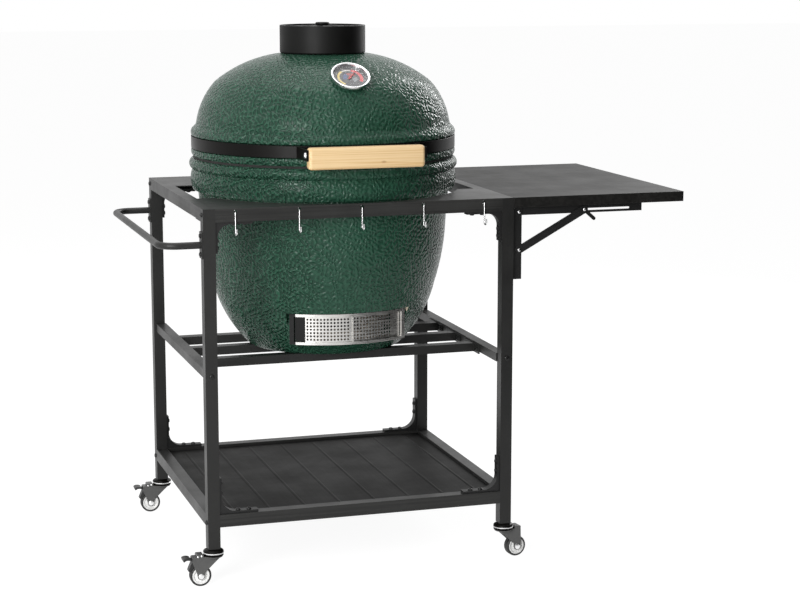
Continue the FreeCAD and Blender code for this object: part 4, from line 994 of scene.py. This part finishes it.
def dial_numbers():
    """Plain numbers on the dial, as thin flat shapes."""
    whole = bmesh.new()
    for k in range(NUMBERS):
        angle = math.radians(-DIAL_SWEEP / 2 + DIAL_SWEEP * k / (NUMBERS - 1))
        words = bpy.data.curves.new("number", "FONT")
        words.body = str(NUMBER_STEP * (k + 1))
        words.size = 4.0 * MM
        words.extrude = 0.12 * MM
        words.align_x = "CENTER"
        words.align_y = "CENTER"
        mesh = plain_mesh(new_object("number", words))
        spot = (math.sin(angle) * NUMBER_REACH, math.cos(angle) * NUMBER_REACH, NUMBER_HEIGHT)
        mesh.transform(dial_place @ Matrix.Translation(spot))
        whole.from_mesh(mesh)
    joined = bpy.data.meshes.new("thermometer_numbers")
    whole.to_mesh(joined)
    whole.free()
    return joined


settle(new_object("thermometer_numbers", dial_numbers()), "lid", mark_white)

needle_place = dial_place @ Matrix.Rotation(NEEDLE_TURN, 4, "Z")
blade = slab(millimetres([(-1.6, -7), (1.6, -7), (1.3, 2), (0.35, 25.8), (-0.35, 25.8), (-1.3, 2)]),
             -7.3 * MM, -6.6 * MM)
lay_blade = Matrix(((1, 0, 0, 0), (0, 0, 1, 0), (0, -1, 0, 0), (0, 0, 0, 1)))
hub = [(0, 3.6), (1.4, 3.6), (1.4, 6.2), (3.0, 6.2), (2.8, 7.7), (0, 7.7)]
hub = spun(rounded(millimetres(hub), 0.4 * MM), 28)
build("thermometer_hand", [laid(laid(blade, lay_blade), needle_place), laid(hub, needle_place)],
      "needle", needle_red, ["thermometer_needle"])

lens = [(0, 9.1), (35.3, 9.1), (35.3, 10.0), (26, 10.3), (14, 10.47), (0, 10.5)]
build("thermometer_glass", [laid(spun(millimetres(lens), 72), dial_place)], "lid", lens_glass,
      ["thermometer_lens"])


# Casters, each built round its stem and turned to where it trails; profiles are radius and
# height in mm, about the stem or about the axis of the wheel, nut or rivet itself

caster_turn = {"fl": 180.0, "bl": 180.0, "fr": 8.0, "br": 8.0}
disc_profile = [(0, 68.6), (20.2, 68.6), (21, 69.4), (21, 70.6), (20.2, 72.0), (18.6, 73.3),
                (16.2, 74.5), (13.4, 75.5), (12.2, 75.9), (0, 75.9)]
ring_profile = [(0, 66.2), (20.6, 66.2), (21.3, 66.8), (21.3, 67.9), (20.8, 68.5), (0, 68.5)]
race_profile = [(5.2, 61.4), (20.2, 61.4), (20.5, 61.9), (20.5, 63.0), (19.4, 63.4), (19.4, 64.0),
                (20.5, 64.4), (20.5, 65.5), (20.1, 65.9), (5.2, 65.9)]
stem_profile = [(0, 52.9), (7.2, 52.9), (7.6, 53.4), (7.6, 55.2), (4.8, 55.4), (4.8, 66.3),
                (0, 66.3)]
tread_half = [(22, 0.9), (22, 5.6), (21.7, 7.0), (20.9, 8.0), (19.6, 8.5), (17.6, 8.3)]
tread_profile = [(r, -z) for r, z in tread_half[::-1]] + [(21.6, -0.5), (21.6, 0.5)] + tread_half
hub_half = [(17.7, 8.0), (17.0, 8.4), (15.2, 8.4), (14.4, 7.9), (13.6, 6.4), (12.6, 5.4),
            (10.2, 5.4), (8.8, 6.2), (7.8, 8.1), (7.0, 8.5), (2.6, 8.5)]
hub_profile = [(r, -z) for r, z in hub_half[::-1]] + hub_half
nut_profile = [(0, 0), (6.0, 0), (6.0, 1.5), (5.5, 2.4), (4.4, 2.9), (0, 3.0)]
brake_rivet = [(0, 0), (1.9, 0), (1.9, 0.4), (1.5, 0.9), (0.8, 1.2), (0, 1.3)]
hood = [(22.3, 61.0), (22.3, 66.0), (23.2, 66.9), (35.0, 66.9), (36.5, 65.4), (36.5, 61.0)]
CASTER_AT = (0.3125, 0.2845)  # metres from the grill's axis, either way
TRAIL = 28.0  # mm from the stem's axis to the axle
WHEEL = 22.0  # mm, wheel radius
CHEEK = (9.5, 11.5)  # mm, faces of a fork's side plate
discs, rings, stems = [], [], []  # what the four casters have on the table


def beside(profile, x, z, y, side, around=24):
    """A turned shape lying on the left or right of the fork, its top outward."""
    at = Matrix.Translation((x * MM, side * y * MM, z * MM))
    return laid(spun(millimetres(profile), around), at @ turned_to(side))


def cheek_outline(braked):
    """A fork's side plate, from the side; longer where it carries a brake."""
    out = 45.5 if braked else 36.5
    low = 50.3 if braked else 55.8
    toe = [(TRAIL + 7.5 * math.cos(math.radians(a)), WHEEL + 7.5 * math.sin(math.radians(a)))
           for a in range(0, -181, -18)]
    top = [(-12, 61.3), (out - 1.5, 61.3), (out, 60.0), (out, low), (37.2, 31.0)]
    return top + toe + [(19.4, 29.5), (2.0, 46.0), (-12, 58.8)]


def fork_plate(braked):
    """Side plates, top plate, round seat and hood of a fork."""
    cheeks = millimetres(cheek_outline(braked))
    shapes = [slab(cheeks, side * CHEEK[0] * MM, side * CHEEK[1] * MM) for side in (-1, 1)]
    out = 45.0 if braked else 36.0
    shapes.append(block(6 * MM, out * MM, -9.8 * MM, 9.8 * MM, 58.9 * MM, 61.2 * MM))
    shapes.append(spun(millimetres([(5.1, 58.9), (18.9, 58.9), (18.9, 61.3), (5.1, 61.3)]), 48))
    shapes.append(slab(millimetres(hood), -11.3 * MM, 11.3 * MM))
    return shapes


def fork_nuts(braked):
    """Nuts at the axle's ends, with the rivets of a brake if there is one."""
    shapes = []
    for side in (-1, 1):
        shapes.append(beside(nut_profile, TRAIL, WHEEL, CHEEK[1], side))
        if braked:
            for x, z in ((26.5, 63.9), (34.0, 62.9)):
                shapes.append(beside(brake_rivet, x, z, 11.3, side, 16))
    return shapes


def caster_pieces(corner):
    sx = -1 if "l" in corner else 1
    sy = -1 if "f" in corner else 1
    stand = Matrix.Translation(GRILL + Vector((sx * CASTER_AT[0], sy * CASTER_AT[1], 0.0)))
    turned = stand @ Matrix.Rotation(math.radians(caster_turn[corner]), 4, "Z")
    roll = turned @ Matrix.Translation((TRAIL * MM, 0, WHEEL * MM)) @ turned_to(1)
    braked = sx < 0
    discs.append(laid(spun(millimetres(disc_profile), 48), stand))
    rings.append(laid(spun(millimetres(ring_profile), 48), stand))
    stems.append(laid(spun(millimetres(stem_profile), 24), stand))
    fork = "fork_" + corner
    plate = [laid(shape, turned) for shape in fork_plate(braked)]
    build(fork + "_plate", plate, fork, fork_grey, [fork], 0.0005, 30)
    race = laid(spun(millimetres(race_profile), 48), turned)
    build(fork + "_race", [race], fork, band_black)
    axle = spun(millimetres([(0, -11.4), (2.5, -11.4), (2.5, 11.4), (0, 11.4)]), 20)
    bright = [laid(shape, turned) for shape in fork_nuts(braked)] + [laid(axle, roll)]
    build(fork + "_nuts", bright, fork, rivet_bright)
    wheel = "wheel_" + corner
    tread = laid(spun(millimetres(tread_profile), 64), roll)
    middle = laid(spun(millimetres(hub_profile), 64), roll)
    build(wheel + "_tread", [tread], wheel, tread_black, [wheel])
    build(wheel + "_hub", [middle], wheel, hub_white)


for corner in caster_turn:
    caster_pieces(corner)
build("caster_discs", discs, "table", band_black, ["caster_mounts"])
build("caster_rings", rings, "table", rivet_bright)
build("caster_stems", stems, "table", fork_grey)


# Floor, light and camera

FLOOR_SIDE = 60.0


def floor_finish():
    """White to the camera and in reflections, with the object's own shadow kept on it."""
    f = Finish("floor_white")
    matt = f.add("ShaderNodeBsdfDiffuse", Color=(0.22, 0.22, 0.22), Roughness=0.0)
    glow = f.add("ShaderNodeEmission", Color=(1.0, 1.0, 1.0), Strength=0.93)
    white = f.joined("ShaderNodeAddShader", matt, glow)
    plain = f.add("ShaderNodeBsdfDiffuse", Color=(0.75, 0.75, 0.75), Roughness=0.0)
    return f.done(f.joined("ShaderNodeMixShader", f.sharply_seen(), plain, white))


def card(name, width, height, finish):
    """A flat rectangle about its own origin."""
    w = width / 2
    h = height / 2
    mesh = bpy.data.meshes.new(name)
    mesh.from_pydata([(-w, -h, 0), (w, -h, 0), (w, h, 0), (-w, h, 0)], [], [(0, 1, 2, 3)])
    mesh.materials.append(finish)
    return new_object(name, mesh)


def aimed(piece, place, aim):
    """Stands a piece at a place from the grill's axis, turned towards another."""
    piece.location = GRILL + Vector(place)
    piece.rotation_euler = (Vector(aim) - Vector(place)).to_track_quat("-Z", "Y").to_euler()


def studio_world(strength):
    """Even light of a given strength, white where it is seen."""
    world = bpy.data.worlds.new("studio")
    bpy.context.scene.world = world
    world.use_nodes = True
    world.node_tree.nodes.clear()
    b = Board(world.node_tree)
    soft = b.add("ShaderNodeBackground", Color=(1.0, 1.0, 1.0), Strength=strength)
    white = b.add("ShaderNodeBackground", Color=(1.0, 1.0, 1.0), Strength=1.0)
    b.add("ShaderNodeOutputWorld",
          Surface=b.joined("ShaderNodeMixShader", b.sharply_seen(), soft, white))


def soft_lamp(name, place, aim, width, height, power):
    light = bpy.data.lights.new(name, "AREA")
    light.shape = "RECTANGLE"
    light.size = width
    light.size_y = height
    light.energy = power
    aimed(new_object(name, light), place, aim)


def flag(name, place, aim, width, height):
    """A black card that only reflections see, as a studio uses to shape them."""
    black = Finish(name)
    piece = card(name, width, height,
                 black.done(black.add("ShaderNodeBsdfDiffuse", Color=(0.0, 0.0, 0.0))))
    aimed(piece, place, aim)
    piece.visible_camera = False
    piece.visible_diffuse = False
    piece.visible_shadow = False
    piece.visible_transmission = False


card("floor", FLOOR_SIDE, FLOOR_SIDE, floor_finish())
studio_world(0.22)
soft_lamp("lamp_left", (-2.3, -2.7, 1.5), (0.0, 0.0, 0.7), 1.5, 2.0, 116.0)
soft_lamp("lamp_right", (2.3, 1.9, 2.1), (0.1, 0.0, 0.95), 0.5, 2.0, 32.0)
soft_lamp("lamp_top", (-0.2, 0.3, 3.2), (0.1, 0.0, 0.8), 2.2, 1.8, 36.0)
flag("flag_right", (1.30, -1.10, 0.95), (-0.62, 0.27, 0.95), 3.0, 1.9)

# The camera as it was fitted to the photograph
optics = bpy.data.cameras.new("camera")
optics.sensor_width = 36.0
optics.lens = 88.45
optics.clip_end = 100.0
eye = new_object("camera", optics)
eye.location = GRILL + Vector((-1.0930, -4.0590, 1.2560))
eye.rotation_euler = (math.radians(80.0875), 0.0, math.radians(-17.312))
bpy.context.scene.camera = eye
bpy.context.scene.view_settings.view_transform = "Standard"
